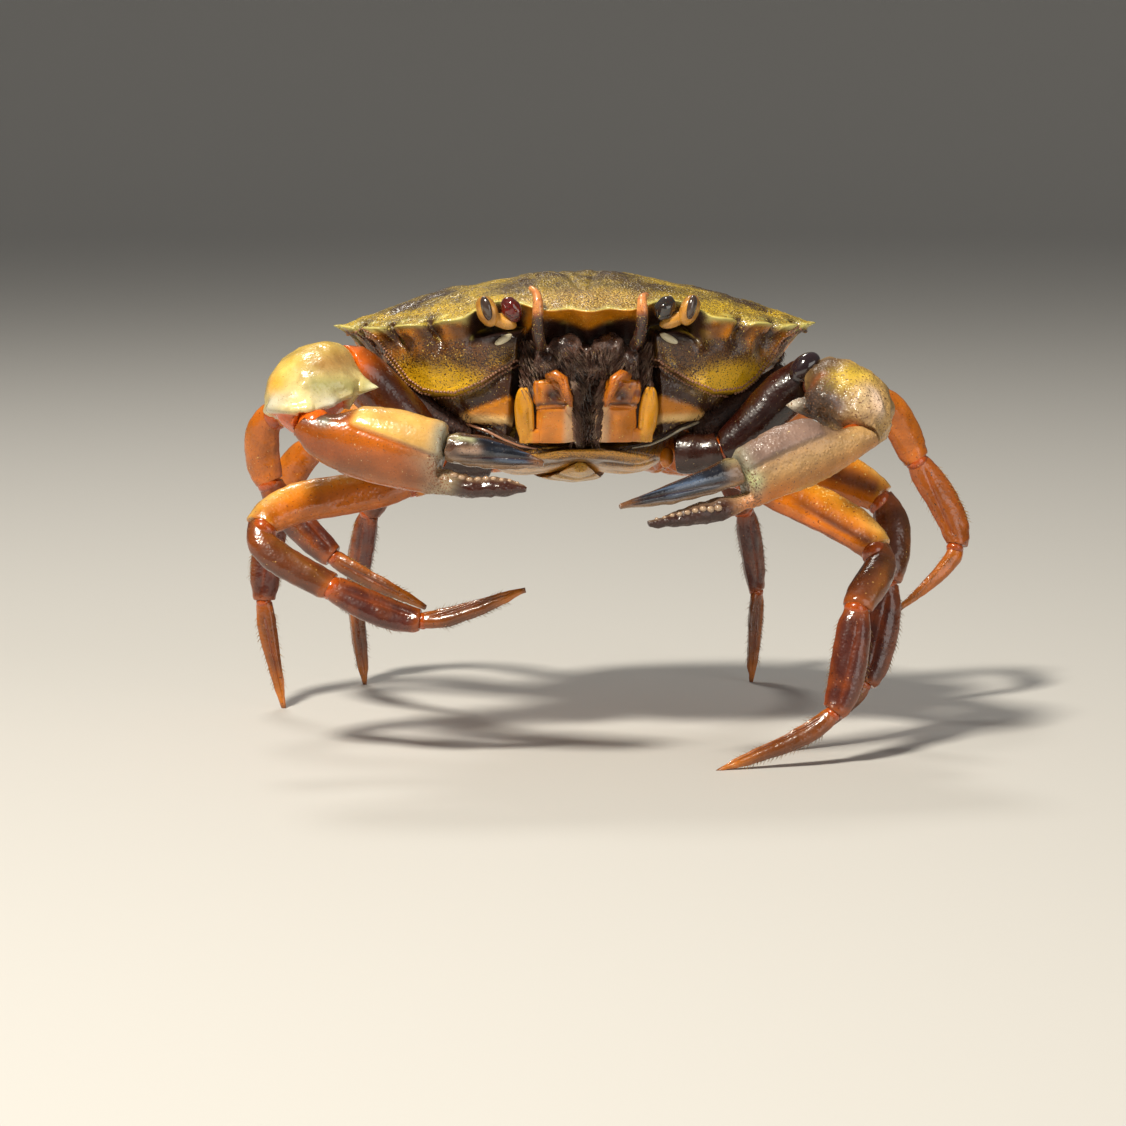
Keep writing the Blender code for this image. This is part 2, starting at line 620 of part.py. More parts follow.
# Chelipeds. Joint places: root, end of the ischium, end of the merus, wrist
# and knuckle. A hand row is (distance from the wrist, lower edge, upper
# edge, thickness), measured along the line from wrist to knuckle.
CHELIPEDS = {
    "cheliped_right": {
        "joints": ((-10.6, -11.3, 33.9), (-15.8, -12.6, 34.4), (-27.3, -12.9, 44.3),
                   (-30.9, -22.8, 38.8), (-16.0, -26.5, 36.0)),
        "spine": (-23.2, -20.4, 42.6),
        "size": 1.0,
        "palm": ((0.2, -2.0, 1.9, 3.9), (1.4, -3.3, 2.2, 4.9), (3.2, -4.5, 2.7, 5.7), (6.4, -5.1, 3.2, 6.2),
                 (9.6, -5.2, 3.4, 6.2), (12.6, -5.1, 3.2, 5.8), (14.6, -4.9, 2.9, 5.2)),
        "step": (14.9, -4.8, -1.5, 4.2),
        "fixed": ((15.6, -4.75, -1.9, 3.7), (18.5, -4.4, -2.4, 3.1), (22.0, -3.6, -1.7, 2.4),
                  (23.8, -2.9, -1.8, 1.5), (24.6, -2.6, -2.1, 0.6)),
        "moving": ((15.3, -1.0, 2.0, 3.3), (16.3, -1.1, 2.4, 3.5), (19.0, -0.9, 2.6, 3.1),
                   (21.8, -0.6, 2.3, 2.5), (24.2, 0.0, 1.7, 1.8), (26.0, 0.4, 1.0, 0.6)),
    },
    "cheliped_left": {
        "joints": ((10.6, -11.3, 33.9), (15.8, -12.6, 34.5), (26.0, -13.4, 42.4),
                   (30.3, -21.6, 36.8), (16.6, -25.8, 32.3)),
        "spine": (22.1, -18.4, 40.1),
        "size": 0.92,
        "palm": ((0.2, -1.7, 1.9, 3.6), (1.5, -1.9, 2.3, 4.3), (3.3, -2.6, 2.9, 4.8), (6.0, -3.2, 4.3, 5.2),
                 (9.4, -3.2, 4.5, 5.2), (13.0, -3.1, 3.9, 4.9), (14.8, -3.1, 3.5, 4.4)),
        "step": (15.1, -3.0, -0.6, 3.5),
        "fixed": ((15.8, -2.9, -1.1, 3.2), (18.7, -2.6, -1.0, 2.7), (23.0, -2.0, -0.6, 2.0),
                  (26.0, -1.2, -0.3, 1.3), (27.2, -0.7, -0.2, 0.6)),
        "moving": ((15.5, -0.1, 3.2, 3.0), (16.5, 0.0, 3.4, 3.2), (19.2, 0.2, 3.1, 2.7),
                   (23.4, 0.7, 3.0, 2.2), (27.2, 1.6, 2.9, 1.5), (29.9, 2.3, 2.8, 0.6)),
    },
}
CLAW_PROFILES = {
    "base": ((0, 5.0, 4.6), (0.35, 5.4, 5.0), (0.6, 4.4, 4.2), (1, 4.8, 4.6)),
    "merus": ((0, 4.4, 4.2), (0.2, 5.4, 5.2), (0.6, 6.2, 6.0), (0.88, 6.2, 6.0), (1, 5.0, 5.0)),
    "carpus": ((0, 4.8, 5.0), (0.14, 7.0, 8.2), (0.36, 8.3, 10.6), (0.62, 8.4, 10.8), (0.84, 7.0, 8.4),
               (1, 4.6, 4.8)),
}
CLAW_LEANS = (0.5, 0.55, 0.5)
WRIST_TILTS = (1.0, 0.7, 0.3)
CLAW_SIDES = 16
BITE_STEPS = 12
BITE_RISE = 0.3


def hand_ring(frame, row, bite=0.0, bite_side=1):
    """A ring square to the palm, with a tooth raised on its upper or lower edge."""
    wrist, way, back, side = frame
    along, low, high, thick = row
    centre = wrist + way * along + back * ((low + high) / 2)
    ring = []
    for k in range(CLAW_SIDES):
        angle = 2 * pi * k / CLAW_SIDES
        rise, across = sin(angle), cos(angle)
        tooth = max(0, rise * bite_side) ** 8 * bite * bite_side
        ring.append(centre + back * ((high - low) / 2 * rise + tooth) + side * (thick / 2 * across))
    return ring


def finger_rings(frame, rows, bite_side):
    """Rings of one finger, every other one raised into a tooth of the bite."""
    rings = []
    first, last = rows[0][0], rows[-1][0]
    for i in range(BITE_STEPS + 1):
        along = lerp(first, last, i / BITE_STEPS)
        row = [along] + ramp(rows, along)
        bite = BITE_RISE if i % 2 and 1 < i < BITE_STEPS - 1 else 0.0
        rings.append(hand_ring(frame, row, bite, bite_side))
    return rings


def make_hand(name, spec, wrist_cut):
    wrist, knuckle = (Vector(p) for p in spec["joints"][3:])
    way = (knuckle - wrist).normalized()
    side = way.cross(UP).normalized()
    frame = (wrist, way, side.cross(way), side)
    rings = [hand_ring(frame, row) for row in spec["palm"]]
    face = wrist + wrist_cut * (GAP / 2)
    for i, tilt in enumerate(WRIST_TILTS):
        rings[i] = cut_flat(rings[i], face + way * spec["palm"][i][0], wrist_cut, way, tilt)
    rings.append(hand_ring(frame, spec["step"]))
    rings += finger_rings(frame, spec["fixed"], 1)
    add_object(name + "_palm", loft(rings), "claw_orange")
    add_object(name + "_finger", loft(finger_rings(frame, spec["moving"], -1)), "finger_slate")


def pull_spine(bm, tip):
    """Draws the surface nearest to tip out into a spine."""
    root = min(bm.verts, key=lambda v: (v.co - tip).length)
    for edge in root.link_edges:
        other = edge.other_vert(root)
        other.co = other.co.lerp(root.co, 0.35)
    root.co = tip


def make_cheliped(name, spec):
    points = [Vector(p) for p in spec["joints"]]
    cuts = joint_cuts(points, CLAW_LEANS)
    for i, part in enumerate(("base", "merus", "carpus")):
        across = UP.cross(points[i + 1] - points[i])
        rings = article(points[i], points[i + 1], cuts[i], cuts[i + 1], across, CLAW_PROFILES[part],
                        spec["size"], CLAW_SIDES)
        bm = loft(rings)
        if part == "carpus":
            pull_spine(bm, Vector(spec["spine"]))
        add_object(f"{name}_{part}", bm, "claw_orange")
    make_hand(name, spec, cuts[3])


def centre_plan():
    """Moves the crab so that the middle of its outline, seen from above, is on the origin."""
    corners = [v.co for thing in CRAB.objects for v in thing.data.vertices]
    middle = [(min(row) + max(row)) / 2 for row in zip(*corners)]
    shift = Matrix.Translation((-middle[0], -middle[1], 0))
    for thing in CRAB.objects:
        thing.data.transform(shift)


def main():
    make_carapace()
    make_sternum()
    make_abdomen()
    make_epistome()
    for side in (-1, 1):
        make_maxilliped(side)
        make_eye(side)
        make_antenna(side)
    for name, spec in CHELIPEDS.items():
        make_cheliped(name, spec)
    for name, (places, size) in LEGS.items():
        make_leg(name, places, size)
    centre_plan()


clear_scene()
CRAB = bpy.data.collections.new("shore_crab")
bpy.context.scene.collection.children.link(CRAB)
main()
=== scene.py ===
from math import atan2, cos, exp, pi, radians, sin
from random import Random

import bmesh
import bpy
from mathutils import Matrix, Vector, noise
from mathutils.bvhtree import BVHTree
from mathutils.kdtree import KDTree


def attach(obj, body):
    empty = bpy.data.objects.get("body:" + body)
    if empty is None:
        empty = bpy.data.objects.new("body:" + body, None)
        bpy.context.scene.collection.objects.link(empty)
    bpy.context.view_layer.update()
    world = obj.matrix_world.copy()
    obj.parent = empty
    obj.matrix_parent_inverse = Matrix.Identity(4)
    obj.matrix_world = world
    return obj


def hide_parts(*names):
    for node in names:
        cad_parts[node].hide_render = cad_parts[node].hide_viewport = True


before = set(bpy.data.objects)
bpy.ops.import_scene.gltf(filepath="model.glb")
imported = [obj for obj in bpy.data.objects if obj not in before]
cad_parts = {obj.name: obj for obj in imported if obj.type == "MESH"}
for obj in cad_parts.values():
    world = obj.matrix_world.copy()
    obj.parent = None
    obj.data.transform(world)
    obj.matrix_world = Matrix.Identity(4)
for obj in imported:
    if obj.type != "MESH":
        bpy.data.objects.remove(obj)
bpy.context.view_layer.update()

# Carapace: the broad shield of the back with its rolled-down side walls, one
# hard olive-yellow shell, wet. It takes the frame's own form, made finer, and
# then gets its regions, grooves, beaded rim, granules and painted markings,
# with painted shade in the notches, the orbits, the sunken suture and on the
# side walls under the rim and outside the suture.
MM = 0.001
BODY_PLACE = (-0.00554, -0.00252, 0.0474)
BODY_TILT = radians(-13)
BODY = Matrix.Translation(BODY_PLACE) @ Matrix.Rotation(BODY_TILT, 4, "X")
INTO_BODY = BODY.inverted()
TOOTH_TIPS = ((13.8, -17.5, -1.5), (19.1, -14.6, -1.7), (23.2, -11.0, -1.5), (26.2, -7.1, -0.8),
              (28.0, -3.0, 0.1))
NOTCH_PLACE = 0.8
NOTCH_DEPTH = 1.6
GROOVES = (
    (((24, -8), (19, -6.5), (14, -4.5), (9.5, -1.5), (6.2, 1.5), (4.6, 4.2), (2.2, 5.2), (0, 5.4)),
     -0.42, 0.75),
    (((4.6, 4.2), (5.7, 7.5), (5.1, 11.5), (3.4, 15.0), (3.0, 18.0)), -0.36, 0.7),
    (((0.5, -15), (1.5, -9), (2.6, -4), (4.4, 0.5), (6.2, 1.5)), -0.2, 0.5),
    (((26.8, -2.6), (20, -1.2), (14, 0.8), (10.5, 3.2)), 0.3, 0.8),
)
SUTURE = ((7.0, -5.8), (8.4, -6.7), (9.8, -7.4), (11.5, -8.5), (13.0, -9.1), (14.8, -9.6), (17.0, -9.3),
          (18.5, -8.8), (20.2, -7.5), (21.8, -5.4), (23.8, -2.8), (25.8, -1.3))
LAST_TOOTH = Vector((27.6, -3.0, 0))
BULGE = (16.6, -7.4)
BULGE_REACH = (5.2, 1.9)
BULGE_TILT = radians(14)
FLANK_SMOOTHINGS = 5


def tint(red, green, blue):
    """A colour as the eye sees it, 0 to 255, made linear for the shader."""
    return Vector([(value / 255) ** 2.2 for value in (red, green, blue)])


def ease(x, low, high):
    share = min(1.0, max(0.0, (x - low) / (high - low)))
    return share * share * (3 - 2 * share)


def wave(p, size, seed=0.0):
    """Smooth noise from about -1 to 1 with hollows and hills size millimetres apart."""
    return noise.noise(Vector((p.x / size + seed, p.y / size - seed, p.z / size + seed * 2)))


def sampled(path, step=0.25):
    """Points every step along a path, each with the direction it runs in."""
    points = []
    for a, b in zip(path, path[1:]):
        a, b = Vector((*a, 0)[:3]), Vector((*b, 0)[:3])
        count = max(1, round((b - a).length / step))
        points += [(a.lerp(b, i / count), (b - a).normalized()) for i in range(count)]
    return points


def tree_of(points):
    tree = KDTree(len(points))
    for i, point in enumerate(points):
        tree.insert(point, i)
    tree.balance()
    return tree


def merged(node):
    """A copy of a frame node's mesh, in which triangles that touch share their points."""
    bm = bmesh.new()
    bm.from_mesh(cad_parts[node].data)
    bmesh.ops.remove_doubles(bm, verts=bm.verts, dist=2e-6)
    return bm


def paired(bm):
    """The same bmesh with its triangles joined into quads, so that it rounds evenly."""
    bmesh.ops.join_triangles(bm, faces=bm.faces, angle_face_threshold=radians(60), angle_shape_threshold=pi)
    return bm


def refined(name, bm, levels, sharp=radians(50), hold=0.6, wanted=None):
    """A smooth fine piece from a coarse bmesh. Edges sharper than sharp keep their corner by hold."""
    crease = bm.edges.layers.float.new("crease_edge")
    for edge in bm.edges:
        if len(edge.link_faces) == 2 and edge.calc_face_angle() > sharp and (wanted is None or wanted(edge)):
            edge[crease] = hold
    coarse = bpy.data.meshes.new(name)
    bm.to_mesh(coarse)
    bm.free()
    piece = bpy.data.objects.new(name, coarse)
    bpy.context.scene.collection.objects.link(piece)
    rounding = piece.modifiers.new("Rounding", "SUBSURF")
    rounding.levels = rounding.render_levels = levels
    graph = bpy.context.evaluated_depsgraph_get()
    fine = bpy.data.meshes.new_from_object(piece.evaluated_get(graph))
    piece.modifiers.clear()
    piece.data = fine
    bpy.data.meshes.remove(coarse)
    return piece


def carve(piece, skin):
    """Raises each point by skin's millimetres and gives it skin's colour and marks."""
    mesh = piece.data
    turn = INTO_BODY.to_3x3()
    places = [v.co.copy() for v in mesh.vertices]
    normals = [v.normal.copy() for v in mesh.vertices]
    colours, marks = [], []
    for v, place, normal in zip(mesh.vertices, places, normals):
        lift, colour, mark = skin(INTO_BODY @ place / MM, turn @ normal)
        v.co = place + normal * (lift * MM)
        colours += (*colour, 1)
        marks += (*mark, 1)
    for layer, values in (("Paint", colours), ("Marks", marks)):
        mesh.attributes.new(layer, "FLOAT_COLOR", "POINT").data.foreach_set("color", values)
    mesh.shade_smooth()


def add_node(tree, kind, settings=None, **sockets):
    made = tree.nodes.new("ShaderNode" + kind)
    for key, value in (settings or {}).items():
        setattr(made, key, value)
    for key, value in sockets.items():
        socket = made.inputs[key.replace("_", " ")]
        if isinstance(value, bpy.types.NodeSocket):
            tree.links.new(value, socket)
        else:
            socket.default_value = value
    return made


def calculated(tree, operation, a, b):
    made = tree.nodes.new("ShaderNodeMath")
    made.operation = operation
    for socket, value in zip(made.inputs, (a, b)):
        if isinstance(value, bpy.types.NodeSocket):
            tree.links.new(value, socket)
        else:
            socket.default_value = value
    return made.outputs[0]


def ranged(tree, value, low, high, to_low, to_high):
    made = add_node(tree, "MapRange", Value=value, From_Min=low, From_Max=high, To_Min=to_low, To_Max=to_high)
    return made.outputs[0]


def mixed(tree, share, a, b, blend="MIX"):
    """Two colours mixed. The Mix node takes colours on sockets 6 and 7 and gives one on socket 2."""
    made = add_node(tree, "Mix", {"data_type": "RGBA", "blend_type": blend})
    for index, value in ((0, share), (6, a), (7, b)):
        if isinstance(value, bpy.types.NodeSocket):
            tree.links.new(value, made.inputs[index])
        else:
            made.inputs[index].default_value = value
    return made.outputs[2]


def scattered(tree, place, size, amount, colour, fleck, detail=2.0):
    """Colour with flecks about size metres apart, as dense as amount says."""
    field = add_node(tree, "TexNoise", Vector=place, Scale=1 / size, Detail=detail, Roughness=0.6).outputs[0]
    level = calculated(tree, "MULTIPLY_ADD", amount, 0.5)
    level.node.inputs[2].default_value = 0.25
    share = ranged(tree, calculated(tree, "SUBTRACT", level, field), -0.02, 0.03, 0, 1)
    return mixed(tree, share, colour, (*fleck, 1))


def shell_finish(name, speck=(62, 38, 26), fleck=(226, 196, 96), speck_size=0.00017, grain_size=0.00045,
                 grain_height=0.00005, roughness=0.34, coat=0.55, glow=0.0):
    """Wet painted shell: the piece's own paint, dark specks, pale flecks and granules."""
    made = bpy.data.materials.new(name)
    made.use_nodes = True
    tree = made.node_tree
    shader = tree.nodes["Principled BSDF"]
    place = tree.nodes.new("ShaderNodeTexCoord").outputs["Object"]
    paint = add_node(tree, "Attribute", {"attribute_name": "Paint"}).outputs["Color"]
    marks = add_node(tree, "Attribute", {"attribute_name": "Marks"}).outputs["Color"]
    specks, grain, flecks = add_node(tree, "SeparateColor", Color=marks).outputs[:3]
    drift = add_node(tree, "TexNoise", Vector=place, Scale=320, Detail=4.0).outputs[0]
    colour = mixed(tree, 1.0, paint, ranged(tree, drift, 0.3, 0.7, 0.72, 1.22), "MULTIPLY")
    colour = scattered(tree, place, speck_size * 1.3, flecks, colour, tint(*fleck))
    colour = scattered(tree, place, speck_size, specks, colour, tint(*speck))
    tree.links.new(colour, shader.inputs["Base Color"])
    cells = add_node(tree, "TexVoronoi", Vector=place, Scale=1 / grain_size).outputs["Distance"]
    beads = calculated(tree, "MULTIPLY", ranged(tree, cells, 0.0, 0.6, 1, 0), grain)
    pores = add_node(tree, "TexNoise", Vector=place, Scale=2.5 / grain_size, Detail=3.0).outputs[0]
    height = calculated(tree, "ADD", beads, calculated(tree, "MULTIPLY", pores, 0.25))
    bump = add_node(tree, "Bump", Strength=1.0, Distance=grain_height, Height=height).outputs[0]
    tree.links.new(bump, shader.inputs["Normal"])
    tree.links.new(bump, shader.inputs["Coat Normal"])
    damp = add_node(tree, "TexNoise", Vector=place, Scale=700, Detail=2.0).outputs[0]
    tree.links.new(ranged(tree, damp, 0.3, 0.7, roughness - 0.1, roughness + 0.1), shader.inputs["Roughness"])
    shader.inputs["Coat Weight"].default_value = coat
    shader.inputs["Coat Roughness"].default_value = 0.08
    shader.inputs["Subsurface Weight"].default_value = glow
    shader.inputs["Subsurface Scale"].default_value = 0.001
    shader.inputs["Subsurface Radius"].default_value = (0.7, 0.4, 0.15)
    return made


def fitted(piece, finish, slot, *nodes):
    """The piece gets its material, its body and the frame nodes that it replaces. Its slot is not used."""
    piece.data.materials.clear()
    piece.data.materials.append(finish)
    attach(piece, "root")
    if nodes:
        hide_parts(*nodes)
    return piece


OLIVE = tint(134, 110, 34)
YELLOW = tint(206, 168, 30)
TAN = tint(186, 146, 78)
DARK_GREEN = tint(62, 52, 22)
PALE_LOBE = tint(214, 206, 118)
RIM_ORANGE = tint(212, 128, 12)
FLANK_BROWN = tint(116, 72, 28)
# Painted shade on the side walls, under the rim and near the mouth.
FLANK_SHADE_MAROON = tint(82, 46, 28)
OCHRE = tint(232, 180, 30)
PLATE_ORANGE = tint(206, 126, 24)
PLATE_EDGE = tint(232, 190, 122)
# Painted shade: the dark brown in the notches, the orbits, the front hollow, the sunken suture and the
# breastplate's steps.
PAINTED_SHADE_BROWN = tint(46, 28, 24)
# Painted shade on the wall outside the suture and on the limb root walls.
WALL_SHADE_MAROON = tint(62, 34, 24)

tips = [Vector(tip) for tip in TOOTH_TIPS]
notches = []
for tip, after in zip(tips, tips[1:]):
    run = after - tip
    inward = Vector((-run.y, run.x, 0)).normalized()
    notches.append(tip + run * NOTCH_PLACE + inward * NOTCH_DEPTH)

shell_cage = merged("carapace")
rim_points = []
for edge in shell_cage.edges:
    ends = [INTO_BODY @ v.co / MM for v in edge.verts]
    if edge.calc_face_angle() > radians(38):
        for share in (0, 0.25, 0.5, 0.75):
            point = ends[0].lerp(ends[1], share)
            outer = abs(point.x) > 12.8
            if point.z > (-3.0 if outer else -1.7) and (outer or not -15.5 < point.y < -5):
                rim_points.append(Vector((abs(point.x), point.y, point.z)))
rim = tree_of(rim_points)
groove_lines = [(tree_of([p for p, _ in sampled(path)]), height, width) for path, height, width in GROOVES]
suture_points = sampled(SUTURE)
suture = tree_of([p for p, _ in suture_points])


def suture_gap(across, height):
    """Distance to the suture on the flank, above zero below and outside it."""
    place = Vector((across, height, 0))
    near, index, gap = suture.find(place)
    way = suture_points[index][1]
    return gap if (place - near).dot(Vector((way.y, -way.x, 0))) > 0 else -gap


def shell_skin(p, n):
    """The back: grooves, granules, beaded rim and mottling, eased into the side walls, with painted shade in
    the notches between the teeth.
    """
    ax = abs(p.x)
    flat = Vector((ax, p.y, 0))
    top = ease(n.z, 0.0, 0.3) * (1 - ease(-p.z, 1.5, 1.9) * (1 - ease(ax, 12.4, 13.2)) * ease(-p.y, 12, 14))
    mirrored = Vector((ax, p.y, p.z))
    rim_gap = rim.find(mirrored)[2]
    notch = max(exp(-((ax - q.x) ** 2 + (p.y - q.y) ** 2) / 1.3) for q in notches)
    notch *= 1 - ease(rim_gap, 1.4, 3.0)
    lobe = exp(-(rim_gap / 0.55) ** 2) * (1 - notch)
    patch = wave(mirrored, 7.0, 3.1) + 0.6 * wave(p, 2.6, 9.4) + 0.35 * wave(p, 0.9, 1.7)
    if top > 0.02:
        lift = 0.0
        for line, height, width in groove_lines:
            gap = line.find(flat)[2]
            if gap < 3 * width:
                lift += height * exp(-(gap / width) ** 2)
        beads = noise.voronoi(p / 0.8)[0][0]
        lift += (0.09 * max(0.0, 1 - 2.2 * beads) - 0.02) * (1 - lobe)
        lift += 0.2 * wave(p, 2.4, 5.0) + 0.3 * exp(-((flat - LAST_TOOTH).length / 1.5) ** 2)
        rim_beads = max(0.0, 1 - 2.4 * noise.voronoi(p / 0.55)[0][0])
        lift = lift * ease(rim_gap, 0.0, 1.2) + lobe * (0.1 + 0.16 * rim_beads)
        dark = ease(patch, 0.05, 0.5) * ease(rim_gap, 1.5, 4.0) * (0.6 + 0.4 * ease(p.y, -14, -6))
        band = exp(-((rim_gap - 2.0) / 1.2) ** 2) * ease(ax, 6.0, 10.0) * ease(-p.y, 0, 4)
        colour = OLIVE.lerp(YELLOW, min(1.0, band + ease(-patch, 0.05, 0.4) * 0.8))
        colour = colour.lerp(TAN, ease(-p.y, 13.0, 16.5) * (1 - ease(ax, 6.0, 9.0)) * 0.75)
        colour = colour.lerp(DARK_GREEN, dark * 0.8)
        colour = colour.lerp(PALE_LOBE, lobe * 0.8)
        # The notches between the teeth are darkened as painted shade.
        colour = colour.lerp(PAINTED_SHADE_BROWN, notch * 0.6)
        marks = (0.42 + 0.2 * dark - 0.3 * lobe, 1 - 0.6 * lobe, 0.3 - 0.1 * dark)
    if top > 0.98:
        return lift, colour, marks
    side = side_skin(p, ax, rim_gap, notch, lobe)
    if top <= 0.02:
        return side
    return (side[0] + (lift - side[0]) * top, side[1].lerp(colour, top),
            [a + (b - a) * top for a, b in zip(side[2], marks)])


def side_skin(p, ax, rim_gap, notch, lobe):
    """The side walls: rim lobes, stippled flank, yellow bulge, sunken suture and orange plates, with painted
    shade under the rim, near the mouth, in the notches, orbits and suture, and on the wall outside the
    suture.
    """
    gap = suture_gap(ax, p.z)
    forward = ease(-p.y, 1.0, 5.0)
    across, height = ax - BULGE[0], p.z - BULGE[1]
    along = across * cos(BULGE_TILT) + height * sin(BULGE_TILT)
    above = height * cos(BULGE_TILT) - across * sin(BULGE_TILT)
    bulge = exp(-((along / BULGE_REACH[0]) ** 2 + (above / BULGE_REACH[1]) ** 2) ** 1.3) * forward
    seam = exp(-(gap / 0.42) ** 2) * forward
    outside = ease(gap, 0.1, 0.9)
    wall = (1 - outside) * ease(ax, 12.6, 14.0)
    fill = 0.6 * exp(-((rim_gap - 2.1) / 1.25) ** 2) * wall * (1 - 0.35 * notch)
    lift = fill + 0.5 * bulge - 0.5 * seam + 0.1 * wave(p, 1.4, 2.0)
    lift += 0.25 * exp(-((gap + 0.9) / 0.4) ** 2) * forward
    cloud = wave(p, 2.6, 7.7) + 0.5 * wave(p, 1.1, 2.2)
    colour = FLANK_BROWN.lerp(OCHRE, min(1.0, bulge * 1.35 + 0.4 * ease(cloud, 0.0, 0.5)))
    # Painted shade: dark maroon clouds on the upper flank under the rim.
    shade = exp(-((ax - 15.6) / 3.8) ** 2 - ((p.z + 4.5) / 1.5) ** 2) * ease(cloud, -0.6, 0.2)
    colour = colour.lerp(FLANK_SHADE_MAROON, 0.75 * shade)
    specks = 0.5 - 0.22 * bulge
    flecks = 0.2 - 0.1 * bulge
    tooth_face = exp(-((rim_gap - 1.3) / 0.8) ** 2) * (1 - notch) * ease(ax, 12.6, 14.0)
    tooth_face *= ease(wave(p, 2.2, 5.5), -0.45, 0.1) * (1 - ease(-p.z, 2.8, 3.6) * (1 - ease(ax, 17, 20)))
    colour = colour.lerp(RIM_ORANGE, min(1.0, tooth_face * 1.1))
    specks -= 0.3 * tooth_face
    # The notches are darkened as painted shade.
    colour = colour.lerp(PAINTED_SHADE_BROWN, 0.7 * notch)
    # Painted shade: the inner side wall near the mouth is darkened.
    inner = 1 - ease(ax, 9.0, 12.5)
    colour = colour.lerp(FLANK_SHADE_MAROON, 0.75 * inner * (1 - ease(-p.z, 4.2, 6.0) * ease(ax, 8.0, 9.4)))
    plate = outside * ease(-p.y, 7.2, 8.6) * ease(ax, 7.9, 8.4) * (1 - ease(ax, 14.6, 16.0))
    plate *= ease(-p.z, 9.2 + 0.3 * (ax - 8.8), 9.8 + 0.3 * (ax - 8.8))
    plate *= ease(gap, 0.9, 1.5) * (1 - ease(-p.z, 12.3 - 0.12 * (ax - 8), 12.7 - 0.12 * (ax - 8)))
    # Painted shade: the wall outside the suture and below the plates is dark maroon, and the sunken suture is
    # darker still.
    colour = colour.lerp(WALL_SHADE_MAROON, outside)
    colour = colour.lerp(PAINTED_SHADE_BROWN, 0.8 * exp(-((gap - 0.2) / 0.7) ** 2) * forward)
    colour = colour.lerp(PLATE_ORANGE, plate)
    colour = colour.lerp(PLATE_EDGE, plate * ease(-p.z, 11.3 - 0.12 * (ax - 8), 12.0 - 0.12 * (ax - 8)))
    lift += 0.35 * plate
    specks += (0.1 - specks) * plate
    flecks += (0.06 - flecks) * plate
    front_edge = 0.1 - 1.0 * exp(-(ax / 1.7) ** 2) - 1.0 * ease(ax, 5.5, 7.0)
    face = (1 - ease(ax, 7.2, 8.2)) * ease(front_edge - p.z, 1.3, 2.0)
    orbit = ease(ax, 6.4, 7.4) * (1 - ease(ax, 12.6, 14.0)) * ease(-p.z, 0.0, 0.7)
    orbit *= 1 - ease(-p.z, 3.4, 4.4)
    hollow = max(face, orbit)
    brow = (1 - ease(ax, 7.0, 7.8)) * (1 - hollow)
    colour = colour.lerp(RIM_ORANGE, brow)
    specks *= 1 - brow
    # The orbits and the hollow under the front edge are darkened as painted shade.
    colour = colour.lerp(PAINTED_SHADE_BROWN, hollow)
    colour = colour.lerp(PALE_LOBE, lobe * (1 - ease(-p.z, 1.4, 2.2)) * (1 - orbit) * (1 - brow))
    keep = 1 - max(lobe, hollow)
    marks = (specks * keep, 0.25 + 0.2 * keep, flecks * keep)
    return lift * (1 - hollow) * ease(rim_gap, 0, 0.9), colour, marks


def off_rim(place):
    """How far a place of the cage is from the rim, in millimetres."""
    p = INTO_BODY @ place / MM
    return rim.find(Vector((abs(p.x), p.y, p.z)))[2]


def is_flank(v):
    p = INTO_BODY @ v.co / MM
    return abs(p.x) > 12.4 and -9.6 < p.z < -1.6 and p.y < 4 and off_rim(v.co) > 0.9


def keeps_corner(edge):
    middle = (edge.verts[0].co + edge.verts[1].co) / 2
    p = INTO_BODY @ middle / MM
    return abs(p.x) < 12.4 or p.z < -9.6 or p.y > 4 or off_rim(middle) < 0.5


flanks = [v for v in shell_cage.verts if is_flank(v)]
for turn in range(FLANK_SMOOTHINGS):
    bmesh.ops.smooth_vert(shell_cage, verts=flanks, factor=0.5,
                          use_axis_x=True, use_axis_y=True, use_axis_z=True)
carapace = refined("carapace_shell", paired(shell_cage), 3, radians(48), 0.75, keeps_corner)
carve(carapace, shell_skin)
olive_finish = shell_finish("wet_olive_shell", grain_size=0.0003, grain_height=0.00009, roughness=0.36,
                            coat=0.45)
fitted(carapace, olive_finish, "shell_olive", "carapace")

# Breastplate and tail: the tan plates under the body, and the narrow tail that
# is folded forward over them. Shallow grooves mark off the single segments,
# and painted shade darkens the top under the mouth covers and the plate steps.
SEGMENT_GROOVES = (-5.4, 0.0, 5.4, 10.9)
TAIL_GROOVES = (0.4, 4.3, 8.7, 13.4, 17.4)
BREAST_TAN = tint(212, 148, 50)
BREAST_RIM = tint(120, 84, 46)
TAIL_TAN = tint(204, 148, 56)


